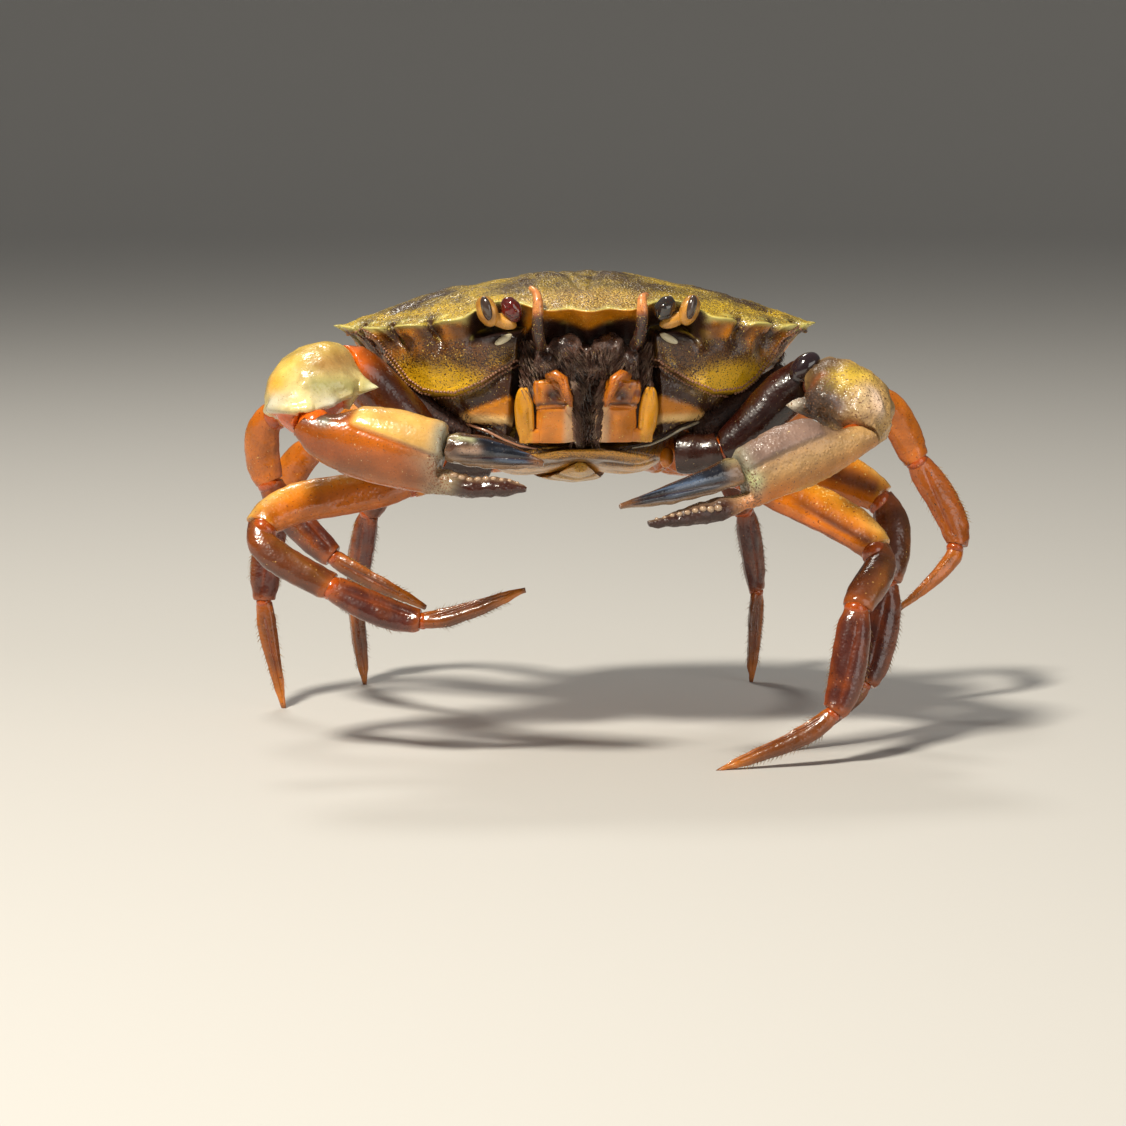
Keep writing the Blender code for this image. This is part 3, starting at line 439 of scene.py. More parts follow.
def breast_skin(p, n):
    ax = abs(p.x)
    groove = max(exp(-((p.y - y - 0.14 * ax) / 0.32) ** 2) for y in SEGMENT_GROOVES) * ease(ax, 1.5, 3.0)
    front = ease(-p.y, 2.0, 5.0)
    level = p.z + 0.012 * p.x * p.x + 0.12 * wave(p, 2.5, 4.0)
    step = sum(exp(-((level - z) / 0.16) ** 2) for z in (-15.2, -16.35)) * front
    crescent = ease(level, -14.9, -14.5) * front * (1 - ease(ax, 3.4, 4.6))
    layer = max(0.0, sin(p.z * 9.0 + 0.5 * p.x + 2 * wave(p, 3.0))) * front * ease(-level, 15.3, 15.7)
    edge = sum(exp(-((level - z) / 0.3) ** 2) for z in (-15.0, -16.2)) * front
    colour = BREAST_TAN.lerp(BREAST_RIM, min(1.0, 0.8 * groove + 0.3 * layer + 0.5 * ease(ax, 8.0, 11.0)))
    # Painted shade under the mouth covers and along the plate steps.
    colour = colour.lerp(PAINTED_SHADE_BROWN, min(1.0, 0.75 * crescent + 0.6 * step))
    lift = 0.08 * wave(p, 2.0) - 0.3 * groove - 0.2 * step - 0.05 * layer
    return lift, colour, (0.3 + 0.4 * edge, 0.3, 0.2)


def tail_skin(p, n):
    groove = max(exp(-((p.y - y) / 0.28) ** 2) for y in TAIL_GROOVES)
    ridge = exp(-(p.x / 0.9) ** 2) * 0.14
    colour = TAIL_TAN.lerp(BREAST_RIM, min(1.0, 0.85 * groove + 0.4 * ease(wave(p, 3.0, 4.0), 0.1, 0.5)))
    return 0.06 * wave(p, 1.8) - 0.24 * groove + ridge, colour, (0.25, 0.4, 0.3)


under_finish = shell_finish("wet_tan_shell", speck=(92, 62, 34), grain_height=0.00004, roughness=0.38,
                            coat=0.4)


def clad(node, name, levels, skin, finish, slot):
    """A frame node made finer, given its skin and fitted in the node's place."""
    piece = refined(name, paired(merged(node)), levels)
    carve(piece, skin)
    return fitted(piece, finish, slot, node)


for node, skin in (("sternum", breast_skin), ("abdomen", tail_skin)):
    clad(node, node + "_shell", 2, skin, under_finish, "shell_under")

# Mouth field: the dark wet block between the eyes and the mouth, furred, with
# lumps where the antennules fold, lighter grey on top as a painted highlight,
# and a small pale plate under each eye.
FUR_BROWN = tint(60, 40, 34)
LUMP_HIGHLIGHT_GREY = tint(128, 104, 94)
TOOTH_CREAM = tint(226, 216, 182)


def mouth_skin(p, n):
    lump = ease(wave(p, 1.3, 6.0), -0.1, 0.5)
    folds = wave(Vector((p.x * 2.2, p.y, p.z * 0.6)), 1.2, 2.0)
    # The raised lumps are lighter grey as a painted highlight.
    return 0.25 * lump + 0.1 * folds, FUR_BROWN.lerp(LUMP_HIGHLIGHT_GREY, 0.55 * lump), (0.3, 0.6, 0.16)


mouth_finish = shell_finish("wet_dark_mouth", speck=(28, 18, 16), fleck=(150, 130, 122), grain_size=0.0003,
                            grain_height=0.00006, roughness=0.3, coat=0.6)
mouth_block = clad("epistome", "epistome_shell", 3, mouth_skin, mouth_finish, "mouth_brown")


def made_piece(name, bm):
    mesh = bpy.data.meshes.new(name)
    bmesh.ops.recalc_face_normals(bm, faces=bm.faces)
    bm.to_mesh(mesh)
    bm.free()
    piece = bpy.data.objects.new(name, mesh)
    bpy.context.scene.collection.objects.link(piece)
    return piece


def aimed(place, way, reach=(1, 1, 1)):
    """A matrix in metres that puts its Z along way at place, both in the body's millimetres."""
    turn = Vector(way).to_track_quat("Z", "Y").to_matrix().to_4x4()
    spot = BODY @ Matrix.Diagonal((MM, MM, MM, 1)) @ Matrix.Translation(place)
    return spot @ turn @ Matrix.Diagonal((*reach, 1))


def ball(bm, place, way, reach, detail=3):
    bmesh.ops.create_icosphere(bm, subdivisions=detail, radius=1, matrix=aimed(place, way, reach))


def tube(bm, path, radii, sides=16):
    """A closed tapering tube along a path in the body's millimetres."""
    path = [Vector(point) for point in path]
    rings = []
    for i, (place, radius) in enumerate(zip(path, radii)):
        way = path[min(i + 1, len(path) - 1)] - path[max(i - 1, 0)]
        made = bmesh.ops.create_circle(bm, cap_ends=i in (0, len(path) - 1), segments=sides, radius=radius,
                                       matrix=aimed(place, way))
        rings.append(list(made["verts"]))
    for ring, after in zip(rings, rings[1:]):
        edges = {e for v in ring + after for e in v.link_edges if e.other_vert(v) in ring + after}
        ring_edges = [e for e in edges if (e.verts[0] in ring) == (e.verts[1] in ring)]
        bmesh.ops.bridge_loops(bm, edges=ring_edges)


TUFT = 60


def bristles(name, hairs):
    """Fine pointed hairs, each a root, a way, a length, a radius and its place on the UV map.

    They are made in tufts, because a bmesh grows slow as it fills."""
    whole = bmesh.new()
    for first in range(0, len(hairs), TUFT):
        tuft = bmesh.new()
        layer = tuft.loops.layers.uv.new("OFBake")
        for root, way, length, radius, place in hairs[first:first + TUFT]:
            middle = aimed(root + way.normalized() * (length / 2), way)
            made = bmesh.ops.create_cone(tuft, cap_ends=True, segments=3, radius1=radius,
                                         radius2=radius * 0.12, depth=length, matrix=middle)["verts"]
            for face in {face for v in made for face in v.link_faces}:
                for i, loop in enumerate(face.loops):
                    loop[layer].uv = (place[0] + 0.003 * (i % 2), place[1] + 0.003 * (i // 2))
        part = bpy.data.meshes.new(name)
        tuft.to_mesh(part)
        tuft.free()
        whole.from_mesh(part)
        bpy.data.meshes.remove(part)
    return made_piece(name, whole)


def even(colour, specks=0.1, grain=0.3, flecks=0.1, swell=0.0):
    """A skin of one colour with a slight unevenness swell millimetres high."""
    return lambda p, n: (swell * wave(p, 0.9), colour, (specks, grain, flecks))


def ball_piece(name, balls, skin, finish, slot, *nodes):
    """A finished piece made of balls, each a place, a way, a reach and perhaps its fineness."""
    bm = bmesh.new()
    for shape in balls:
        ball(bm, *shape)
    piece = made_piece(name, bm)
    carve(piece, skin)
    return fitted(piece, finish, slot, *nodes)


ball_piece("orbit_teeth", [((side * 9.3, -14.9, -3.4), (side * 0.8, -0.1, -0.45), (0.42, 0.42, 1.15))
                           for side in (-1, 1)], even(TOOTH_CREAM), under_finish, "shell_under")

# Suture and lower edge: a double row of small beads along the hairy seam of each
# side wall, a grey rolled hem along its lower edge, and soft walls, dark maroon
# as painted shade, with a fringe of hairs, that close the gap between the hem
# and the limb roots.
SEAM_BROWN = tint(162, 114, 88)
HEM_GREY = tint(150, 142, 122)
FRINGE_BROWN = tint(72, 48, 36)
HEM = ((5.4, -10.3, -15.2), (7.4, -10.6, -14.9), (9.1, -10.6, -14.2), (11.1, -10.1, -13.1),
       (12.9, -9.2, -12.3), (14.6, -6.2, -11.5), (15.6, -2.0, -11.0), (15.3, 3.0, -10.7),
       (14.0, 7.5, -10.3), (12.4, 11.8, -9.8), (8.5, 14.0, -10.6))
HEM_RADII = (0.08, 0.14, 0.15, 0.15, 0.15, 0.13, 0.1, 0.04)
ROOT_WALL = ((23.4, -5.4, -5.4), (22.3, -6.6, -6.9), (20.7, -7.2, -8.2), (18.9, -7.2, -9.6),
             (17.0, -7.0, -11.0), (15.0, -7.4, -12.2), (12.6, -8.2, -13.2))
ROOT_WALL_RADII = (0.4, 1.0, 1.5, 1.75, 1.75, 1.5, 0.9)
FLANK_HAIRS = 2600
dice = Random(7)
shell_tree = BVHTree.FromObject(carapace, bpy.context.evaluated_depsgraph_get())


def onto(tree, origin, way):
    """Where a line from origin first meets the surface, and the surface's facing there."""
    turn = BODY.to_3x3()
    hit, facing, _, _ = tree.ray_cast(BODY @ (Vector(origin) * MM), turn @ Vector(way))
    if hit is None:
        return None, None
    return INTO_BODY @ hit / MM, (INTO_BODY.to_3x3() @ facing).normalized()


seam_beads = []
for side in (-1, 1):
    for row, offset in ((0, 0.62), (1, 0.24)):
        for place, way in sampled(SUTURE, 0.36):
            spot = place + Vector((-way.y, way.x, 0)) * offset + way * (0.18 * row)
            hit, facing = onto(shell_tree, (side * spot.x, -30, spot.y), (0, 1, 0))
            if hit and hit.y < -4:
                seam_beads.append((hit, facing, (0.18, 0.18, 0.22), 1))
ball_piece("suture_beads", seam_beads, even(SEAM_BROWN, 0.3, 0.2, 0.1), under_finish, "shell_olive")

hem_finish = shell_finish("wet_hem", grain_height=0.00002, roughness=0.3, coat=0.7)
fringe_finish = shell_finish("wet_fringe", grain_height=0.00001, roughness=0.45, coat=0.3)
hems = bmesh.new()
fringe = []
for side in (-1, 1):
    tube(hems, [(side * x, y, z) for x, y, z in HEM[:len(HEM_RADII)]], HEM_RADII)
    line = [(side * x, y, z) for x, y, z in HEM]
    for i, (root, _) in enumerate(sampled(line, 0.1)):
        for row in range(3):
            inward = Vector((-side * (0.5 + 0.7 * row), 0.25, -1.0 + 0.25 * row))
            lean = inward + Vector((dice.uniform(-0.35, 0.35), dice.uniform(-0.35, 0.35),
                                    dice.uniform(-0.2, 0.2)))
            start = root + Vector((-side * 0.3 * row, 0.1, 0.25))
            fringe.append((start, lean, dice.uniform(0.9, 1.7), 0.045,
                           (0.5 + side * i / 1200, 0.1 + 0.01 * row)))
    for i in range(FLANK_HAIRS):
        y, z = dice.uniform(-10.5, 3.0), dice.uniform(-12.0, -3.0)
        root, facing = onto(shell_tree, (side * 45, y, z), (-side, 0, 0))
        if root is None or suture_gap(abs(root.x), root.z) < 0.5 or abs(root.x) < 12.5:
            continue
        lean = facing * 0.35 + Vector((dice.uniform(-0.3, 0.3), dice.uniform(-0.5, 0.2),
                                       dice.uniform(-1.0, -0.4)))
        fringe.append((root, lean, dice.uniform(0.35, 0.8), 0.035, (0.5 + side * 0.02 * y, 0.5 + z / 40)))
root_walls = bmesh.new()
for side in (-1, 1):
    path = [Vector((side * x, y, z)) for x, y, z in ROOT_WALL]
    tube(root_walls, path, ROOT_WALL_RADII, 24)
    for place, _ in sampled(path, 0.03):
        outward = Vector((side * dice.uniform(-0.6, 1.0), -1.0, dice.uniform(-1.0, 0.8))).normalized()
        lean = outward * 0.5 + Vector((side * dice.uniform(-0.3, 0.5), -0.2, -0.9))
        fringe.append((place + outward * 1.2, lean, dice.uniform(0.5, 1.1), 0.035,
                       (0.5 + 0.012 * place.x, 0.8 + place.z / 60)))


# The root walls stand where the limb roots lie in shadow; their dark maroon is painted shade.
def root_skin(p, n):
    colour = WALL_SHADE_MAROON.lerp(FUR_BROWN, ease(wave(p, 1.1), -0.2, 0.4))
    return 0.25 * wave(p, 1.6, 4.0), colour, (0.4, 0.8, 0.1)


def hem_skin(p, n):
    return 0.05 * wave(p, 0.9), HEM_GREY.lerp(SEAM_BROWN, ease(-p.x, -6, 4)), (0.1, 0.3, 0.1)


root_walls = made_piece("limb_root_walls", root_walls)
carve(root_walls, root_skin)
root_finish = shell_finish("limb_root_skin", speck=(34, 20, 16), fleck=(150, 112, 88), grain_size=0.0004,
                           grain_height=0.00009, roughness=0.6, coat=0.08)
fitted(root_walls, root_finish, "shell_under")
hems = made_piece("shell_hems", hems)
carve(hems, hem_skin)
fitted(hems, hem_finish, "shell_olive")
fringe = bristles("shell_fringe", fringe)
carve(fringe, even(FRINGE_BROWN))
fitted(fringe, fringe_finish, "shell_under")

# Eyes: each has an orange stalk cup, a dark oval cornea set in its front and a
# dark wet bulb where the stalk leaves the orbit, red on the right, grey left.
CUP_ORANGE = tint(208, 148, 62)
CUP_EDGE = tint(120, 66, 30)
CORNEA_SLATE = tint(74, 60, 54)
BULB_RED = tint(96, 24, 22)
BULB_GREY = tint(44, 42, 42)

cornea_finish = shell_finish("wet_cornea", grain_height=0.000004, roughness=0.16, coat=1.0)
stalk_finish = shell_finish("wet_eye_stalk", speck=(110, 60, 30), grain_height=0.00002, roughness=0.32,
                            coat=0.6, glow=0.1)
for side, end in ((-1, "right"), (1, "left")):
    rim_centre = Vector((side * 11.45, -19.3, -0.55))

    def cup_skin(p, n):
        dark = exp(-(((p - rim_centre).length - 1.25) / 0.3) ** 2)
        return 0.05 * wave(p, 0.8), CUP_ORANGE.lerp(CUP_EDGE, 0.45 * dark), (0.16, 0.3, 0.1)

    ball_piece("eye_stalk_" + end,
               [((side * 11.3, -18.3, -0.75), (side * 0.35, -0.25, 1), (1.4, 1.0, 1.8), 4),
                ((side * 9.6, -17.6, -1.75), (side, -0.15, 0.35), (0.75, 0.8, 1.7), 4)],
               cup_skin, stalk_finish, "eye_stalk", "eye_" + end)
    ball_piece("cornea_" + end,
               [(rim_centre + Vector((0, 0.2, 0)), (side * 0.25, -0.1, 1), (0.86, 0.55, 1.38), 4)],
               even(CORNEA_SLATE, 0.0, 0.2, 0.0), cornea_finish, "eye_stalk")
    ball_piece("eye_bulb_" + end, [((side * 8.6, -17.9, -0.5), (side * 0.55, 0, 1), (1.2, 1.15, 1.5), 4)],
               even(BULB_RED if side < 0 else BULB_GREY, 0.35, 0.3, 0.1, 0.18), cornea_finish, "eye_stalk")

# Feelers: the second antennae, jointed orange-red rods that curl up past the
# brow. Each keeps the frame's own path and gets rings where its joints are.
FEELER_ORANGE = tint(210, 136, 80)
FEELER_RED = tint(172, 86, 44)


def feeler_skin(p, n):
    ring = max(0.0, sin(p.z * 7.5)) ** 4
    colour = FEELER_ORANGE.lerp(FEELER_RED, 0.6 * ring).lerp(FUR_BROWN, ease(-p.z, 1.0, 2.0))
    return 0.05 * ring + 0.05 * ease(p.z, -2.5, -1.5), colour, (0.25, 0.3, 0.2)


feeler_finish = shell_finish("wet_feeler", speck=(120, 46, 20), grain_height=0.00003, coat=0.6, glow=0.15)
for end in ("right", "left"):
    clad("antenna_" + end, "feeler_" + end, 2, feeler_skin, feeler_finish, "feeler")

# Mouth covers: the third maxillipeds, each an outer leaf, a lower plate with a
# fringed inner edge and an arched upper plate from which the palp hangs.
COVER_ORANGE = tint(212, 124, 24)
COVER_GOLD = tint(222, 150, 22)
COVER_FRINGE = tint(206, 160, 116)
COVER_SPOT = tint(132, 62, 28)
PALP = ((4.6, -16.1, -7.9), (3.7, -16.6, -7.7), (2.9, -16.8, -8.3), (2.6, -16.6, -9.4), (2.2, -16.2, -10.4),
        (1.9, -15.8, -11.2))
PALP_RADII = (0.5, 0.62, 0.62, 0.52, 0.42, 0.15)


def cover_skin(p, n):
    ax = abs(p.x)
    leaf = ease(ax, 5.9, 6.3)
    lower = ease(-p.z, 10.6, 11.0)
    fringe = ease(-ax, -2.9, -2.2) * lower
    hole = exp(-((ax - 3.9) ** 2 + (p.z + 9.9) ** 2) / 0.7) * (1 - leaf)
    spots = ease(wave(p, 0.7, 3.0), 0.15, 0.4) * (1 - leaf) * (1 - lower) * (0.9 if p.x > 0 else 0.4)
    colour = COVER_ORANGE.lerp(COVER_GOLD, leaf)
    colour = colour.lerp(COVER_FRINGE, fringe)
    colour = colour.lerp(COVER_SPOT, min(1.0, spots + hole))
    colour = colour.lerp(FUR_BROWN, 0.85 * hole * (1 - lower))
    seam = exp(-((p.z + 10.75) / 0.22) ** 2) * (1 - leaf)
    side_fill = 0.24 * ease(abs(n.x), 0.45, 0.8) * ease(ax, 5.3, 5.6) * (1 - ease(ax, 7.3, 7.6))
    lift = side_fill + 0.07 * wave(p, 1.3) - 0.5 * hole - 0.2 * seam
    return lift, colour.lerp(FUR_BROWN, 0.8 * seam), (0.15, 0.3, 0.12)


cover_finish = shell_finish("wet_mouth_cover", speck=(150, 76, 30), grain_height=0.00003, coat=0.6, glow=0.2)
for side, end in ((-1, "right"), (1, "left")):
    clad("maxilliped_" + end, "maxilliped_" + end, 3, cover_skin, cover_finish, "mouth_orange")
    palp = bmesh.new()
    tube(palp, [(side * x, y, z) for x, y, z in PALP], PALP_RADII)
    palp = made_piece("palp_" + end, palp)
    carve(palp, even(COVER_ORANGE.lerp(COVER_SPOT, 0.35), 0.4, 0.4, 0.1, 0.06))
    fitted(palp, cover_finish, "mouth_orange")

# Mouth hair: short matted brown hair, with grey patches as painted highlights,
# over the mouth field, and the fringes that the two covers turn towards each
# other, which leave a dark V between them.
HAIR_BROWN = tint(92, 64, 52)
HAIR_HIGHLIGHT_GREY = tint(158, 134, 116)
FIELD_HAIRS = 1900
INNER_HAIRS = 420
OUTER_HAIRS = 360
mouth_tree = BVHTree.FromObject(mouth_block, bpy.context.evaluated_depsgraph_get())
hairs = []
while len(hairs) < FIELD_HAIRS:
    across = dice.uniform(-6.0, 6.0)
    level = dice.uniform(-14.2, -4.4)
    if abs(across) > 1.5 and level < -8.6 + 0.3 * abs(across):
        continue
    root, facing = onto(mouth_tree, (across, -30, level), (0, 1, 0))
    if root is None:
        continue
    swirl = Vector((wave(Vector((across, 0, level)), 1.5, 4.0) * 1.6 - 0.12 * across, -0.5, -1.1))
    lean = swirl + Vector((dice.uniform(-0.2, 0.2), dice.uniform(-0.2, 0.1), 0))
    hairs.append((root + Vector((0, 0.1, 0)), lean, dice.uniform(0.8, 1.7), 0.055,
                  (0.5 + across / 30, 0.5 + level / 30)))
for side in (-1, 1):
    for i in range(INNER_HAIRS):
        level = -8.2 - 6.2 * dice.random()
        inner = side * (1.15 + 0.35 * (level + 14.4) / 6 + dice.uniform(0, 0.5))
        lean = Vector((-side * dice.uniform(0.3, 1.0), -0.35, -0.9))
        hairs.append((Vector((inner, -13.6 + 0.35 * (-level - 14), level)), lean, dice.uniform(0.7, 1.5),
                      0.05, (0.5 + side * 0.1, 0.3 + level / 60)))
    for i in range(OUTER_HAIRS):
        level = dice.uniform(-9.2, -3.2)
        across = side * dice.uniform(5.4, 7.6)
        lean = Vector((-side * dice.uniform(0.0, 0.7), -0.6, -1.0))
        hairs.append((Vector((across, dice.uniform(-14.6, -13.0), level)), lean, dice.uniform(0.9, 1.8), 0.06,
                      (0.5 + side * 0.3, 0.5 + level / 30)))
mouth_hair = bristles("mouth_hair", hairs)


def hair_skin(p, n):
    # The grey patches are painted highlights on the matted hair.
    grey = ease(wave(p, 1.1, 3.0) + 0.4 * wave(p, 0.3), 0.05, 0.5)
    return 0.0, HAIR_BROWN.lerp(HAIR_HIGHLIGHT_GREY, grey), (0.1, 0.0, 0.1)


carve(mouth_hair, hair_skin)
fitted(mouth_hair, fringe_finish, "mouth_brown")

# Claws: base, arm, wrist with its inner spine, palm with the fixed finger, and
# the free finger. Cream to orange wet shell, slate and brown fingers with a
# painted blue highlight, and painted shade on the dark arms and in the hollows.
ARTICLES = ("base", "merus", "carpus", "palm", "finger")
PALM_CREAM = tint(224, 180, 112)
KNUCKLE_GREY = tint(150, 150, 128)
SLATE = tint(30, 32, 42)
SLATE_BLUE_HIGHLIGHT = tint(76, 90, 112)
FINGER_TAN = tint(128, 98, 74)
LUMP_TAN = tint(150, 134, 96)
FINGER_BROWN = tint(96, 66, 46)
TIP_BROWN = tint(124, 84, 56)
MEMBRANE_ORANGE = tint(224, 98, 8)
WRIST_LIP = ((-37.5, -11.6), (-35.7, -11.9), (-33.3, -12.4), (-30.7, -12.2), (-28.5, -11.3), (-26.8, -10.3))
TEETH_DARK = tint(60, 32, 24)
TEETH_PALE = tint(176, 146, 118)
WRIST_YELLOW = tint(224, 182, 70)
WRIST_CREAM = tint(222, 200, 132)
WRIST_ROUGH = {"right": 0.14, "left": 0.4}
# The right arm's base colour is its own orange; the left arm's dark base colour is painted shade.
ARM_BASE_AND_SHADE = {"right": tint(196, 96, 18), "left": tint(70, 28, 16)}
CREAM_SHADE = tint(150, 122, 70)


def body_points(node):
    return [INTO_BODY @ v.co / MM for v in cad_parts[node].data.vertices]


def meeting(node, after):
    """Where two articles meet, in the body's millimetres, and how far the joint reaches across."""
    points = body_points(after)
    tree = tree_of(body_points(node))
    gaps = [tree.find(point)[2] for point in points]
    close = [point for point, gap in zip(points, gaps) if gap < min(gaps) + 0.9]
    centre = sum(close, Vector()) / len(close)
    return centre, sum((point - centre).length for point in close) / len(close)


def far_end(node, centre):
    return max(body_points(node), key=lambda point: (point - centre).length)


def along(start, end, lead):
    """A function that gives a point's share of the way, its turn about the axis and the way's length."""
    way = end - start
    length = way.length
    axis = way / length
    up = (lead - axis * lead.dot(axis)).normalized()
    front = axis.cross(up)
    if front.y > 0:
        front = -front

    def measured(p):
        away = p - start
        return away.dot(axis) / length, atan2(away.dot(front), away.dot(up)), length

    return measured


def stroke(p, a, b, reach):
    """How much of a brush stroke from a to b lands on p, one in its middle."""
    a, b = Vector(a), Vector(b)
    way = b - a
    share = min(1.0, max(0.0, (p - a).dot(way) / max(way.length_squared, 1e-6)))
    return exp(-((p - a - way * share).length / reach) ** 2)


def brushed(colour, p, strokes):
    for a, b, reach, strength, paint in strokes:
        colour = colour.lerp(paint, strength * stroke(p, a, b, reach))
    return colour


def arm_skin(measured, strokes, base, swells=(), rough=0.0):
    """The skin of a base, an arm or a wrist: one colour with brush strokes, swellings and roughness."""
    def skin(p, n):
        t, turn, length = measured(p)
        lip = exp(-(((1 - t) * length - 0.5) / 0.45) ** 2)
        mottle = ease(wave(p, 1.5, 3.0) + 0.6 * wave(p, 0.6), 0.1, 0.5)
        colour = brushed(base.lerp(CREAM_SHADE, 0.45 * mottle if rough else 0.0), p, strokes)
        swell = sum(height * stroke(p, a, b, reach) for a, b, reach, height in swells)
        swell += rough * (0.45 * max(0.0, 1 - 2.2 * noise.voronoi(p / 0.75)[0][0]) + wave(p, 1.7, 8.0))
        marks = (0.04 + 0.65 * rough, 0.7, 0.03 + 0.15 * rough)
        return 0.14 * lip + 0.12 * wave(p, 2.4) + swell, colour, marks
    return skin


def flanged(skin, line):
    """A wrist skin that ends in a thick lip along a line, with the soft orange skin below it."""
    def cut(p, n):
        lift, colour, marks = skin(p, n)
        for (x0, z0), (x1, z1) in zip(line, line[1:]):
            if min(x0, x1) <= p.x <= max(x0, x1):
                below = z0 + (z1 - z0) * (p.x - x0) / (x1 - x0) - p.z
                front = ease(-p.y, 14.5, 16.5)
                soft = ease(below, 0.0, 0.25) * front
                lift += 0.4 * exp(-((below + 0.4) / 0.4) ** 2) * front - 0.75 * soft
                colour = colour.lerp(MEMBRANE_ORANGE, soft)
        return lift, colour, marks
    return cut


def palm_skin(measured, side, strokes):
    """The palm with a band along its top, grey knuckles and the dark fixed finger, and painted shade at its
    neck by the wrist.
    """
    flesh, deep, band = PALM_COLOURS[side]
    rough = 0.15 if side < 0 else 0.8

    def skin(p, n):
        t, turn, length = measured(p)
        limit = (1.15 + 0.45 * t) if side < 0 else 1.1
        top = (1 - ease(turn, limit - 0.18, limit)) * ease(turn, -1.5, -1.1) * ease(t, 0.25, 0.32)
        colour = flesh.lerp(deep, ease(turn, 1.5, 2.5))
        colour = colour.lerp(band, top)
        colour = colour.lerp(KNUCKLE_GREY, ease(t, 0.82, 0.97) * 0.85)
        fixed = ease(t, 1.04, 1.2)
        colour = colour.lerp(TEETH_DARK, fixed)
        colour = colour.lerp(TEETH_PALE, fixed * ease(n.z, 0.5, 0.85) * 0.35)
        colour = colour.lerp(PALM_CREAM, (0.5 if side > 0 else 0.12) * ease(turn, 2.6, 3.0) * (1 - fixed))
        colour = brushed(colour, p, strokes)
        beads = noise.voronoi(p / 0.8)[0][0]
        edge = exp(-((turn - limit - 0.02) / 0.12) ** 2) * ease(t, 0.3, 0.4) * (1 - ease(t, 0.85, 1.0))
        # The neck, in the hollow by the wrist, is darkened as painted shade and sunk in.
        neck = exp(-((t - 0.13) / 0.1) ** 2) * ease(-turn, -1.3, -0.6)
        colour = colour.lerp(TEETH_DARK, 0.7 * neck)
        lift = 0.3 * top - 0.12 * edge - 0.5 * neck + 0.08 * wave(p, 2.2)
        lift += 0.05 * top * max(0.0, 1 - 2 * beads)
        lift += (0.16 * wave(p, 1.1, 6.0) + 0.1 * max(0.0, 1 - 2.2 * beads)) * max(rough, ease(t, 0.82, 0.95))
        lift -= 0.14 * exp(-((turn - 1.9) / 0.12) ** 2) * ease(t, 0.8, 1.0)
        lift -= 0.3 * exp(-((t - 0.99) * length / 0.35) ** 2) * ease(n.z, -0.2, 0.4)
        lift += (0.4 if side > 0 else 0.1) * fixed * (1 - 0.7 * ease(t, 1.3, 1.7))
        specks = (0.22 - 0.12 * top + 0.2 * ease(t, 0.85, 0.95)) * (1 - 0.8 * fixed) - 0.05 * rough
        return lift, colour, (max(0.0, specks), 0.6, 0.06 - 0.05 * fixed)
    return skin


def finger_skin(measured, strokes):
    """The free finger: a tan lump at its root, slate above with a painted blue highlight, brown below, with
    long dark lines.
    """
    def skin(p, n):
        t, turn, length = measured(p)
        line = max(exp(-((turn - mark) / 0.13) ** 2) for mark in (0.2, 1.3, 2.05))
        line *= ease(t, 0.08, 0.2) * (1 - ease(t, 0.85, 0.95))
        slate = ease(turn, 0.1, 0.4) * (1 - ease(turn, 1.9, 2.3))
        # A painted blue highlight band along the slate, broken into streaks.
        blue_highlight = exp(-((turn - 0.75) / 0.3) ** 2)
        streak = ease(wave(Vector((turn * 4.0, t * 2.2, 0)), 1.0, 5.0), -0.2, 0.3)
        colour = FINGER_BROWN.lerp(SLATE.lerp(SLATE_BLUE_HIGHLIGHT, blue_highlight * streak + 0.2 * streak), slate)
        lump = ease(-t, -0.2, -0.08)
        colour = colour.lerp(FINGER_TAN.lerp(LUMP_TAN, ease(-turn, -0.9, -0.4)), lump * 0.9)
        colour = brushed(colour, p, strokes).lerp(TIP_BROWN, ease(t, 0.8, 0.93))
        colour = colour.lerp(TEETH_PALE, 0.7 * ease(-n.z, 0.55, 0.85))
        lift = 0.06 * wave(p, 1.5) - 0.16 * line + 0.12 * blue_highlight * (1 - lump) + 0.22 * lump * wave(p, 0.9, 3.0)
        return lift, colour.lerp(TEETH_DARK, 0.8 * line), (0.22, 0.4, 0.06)
    return skin


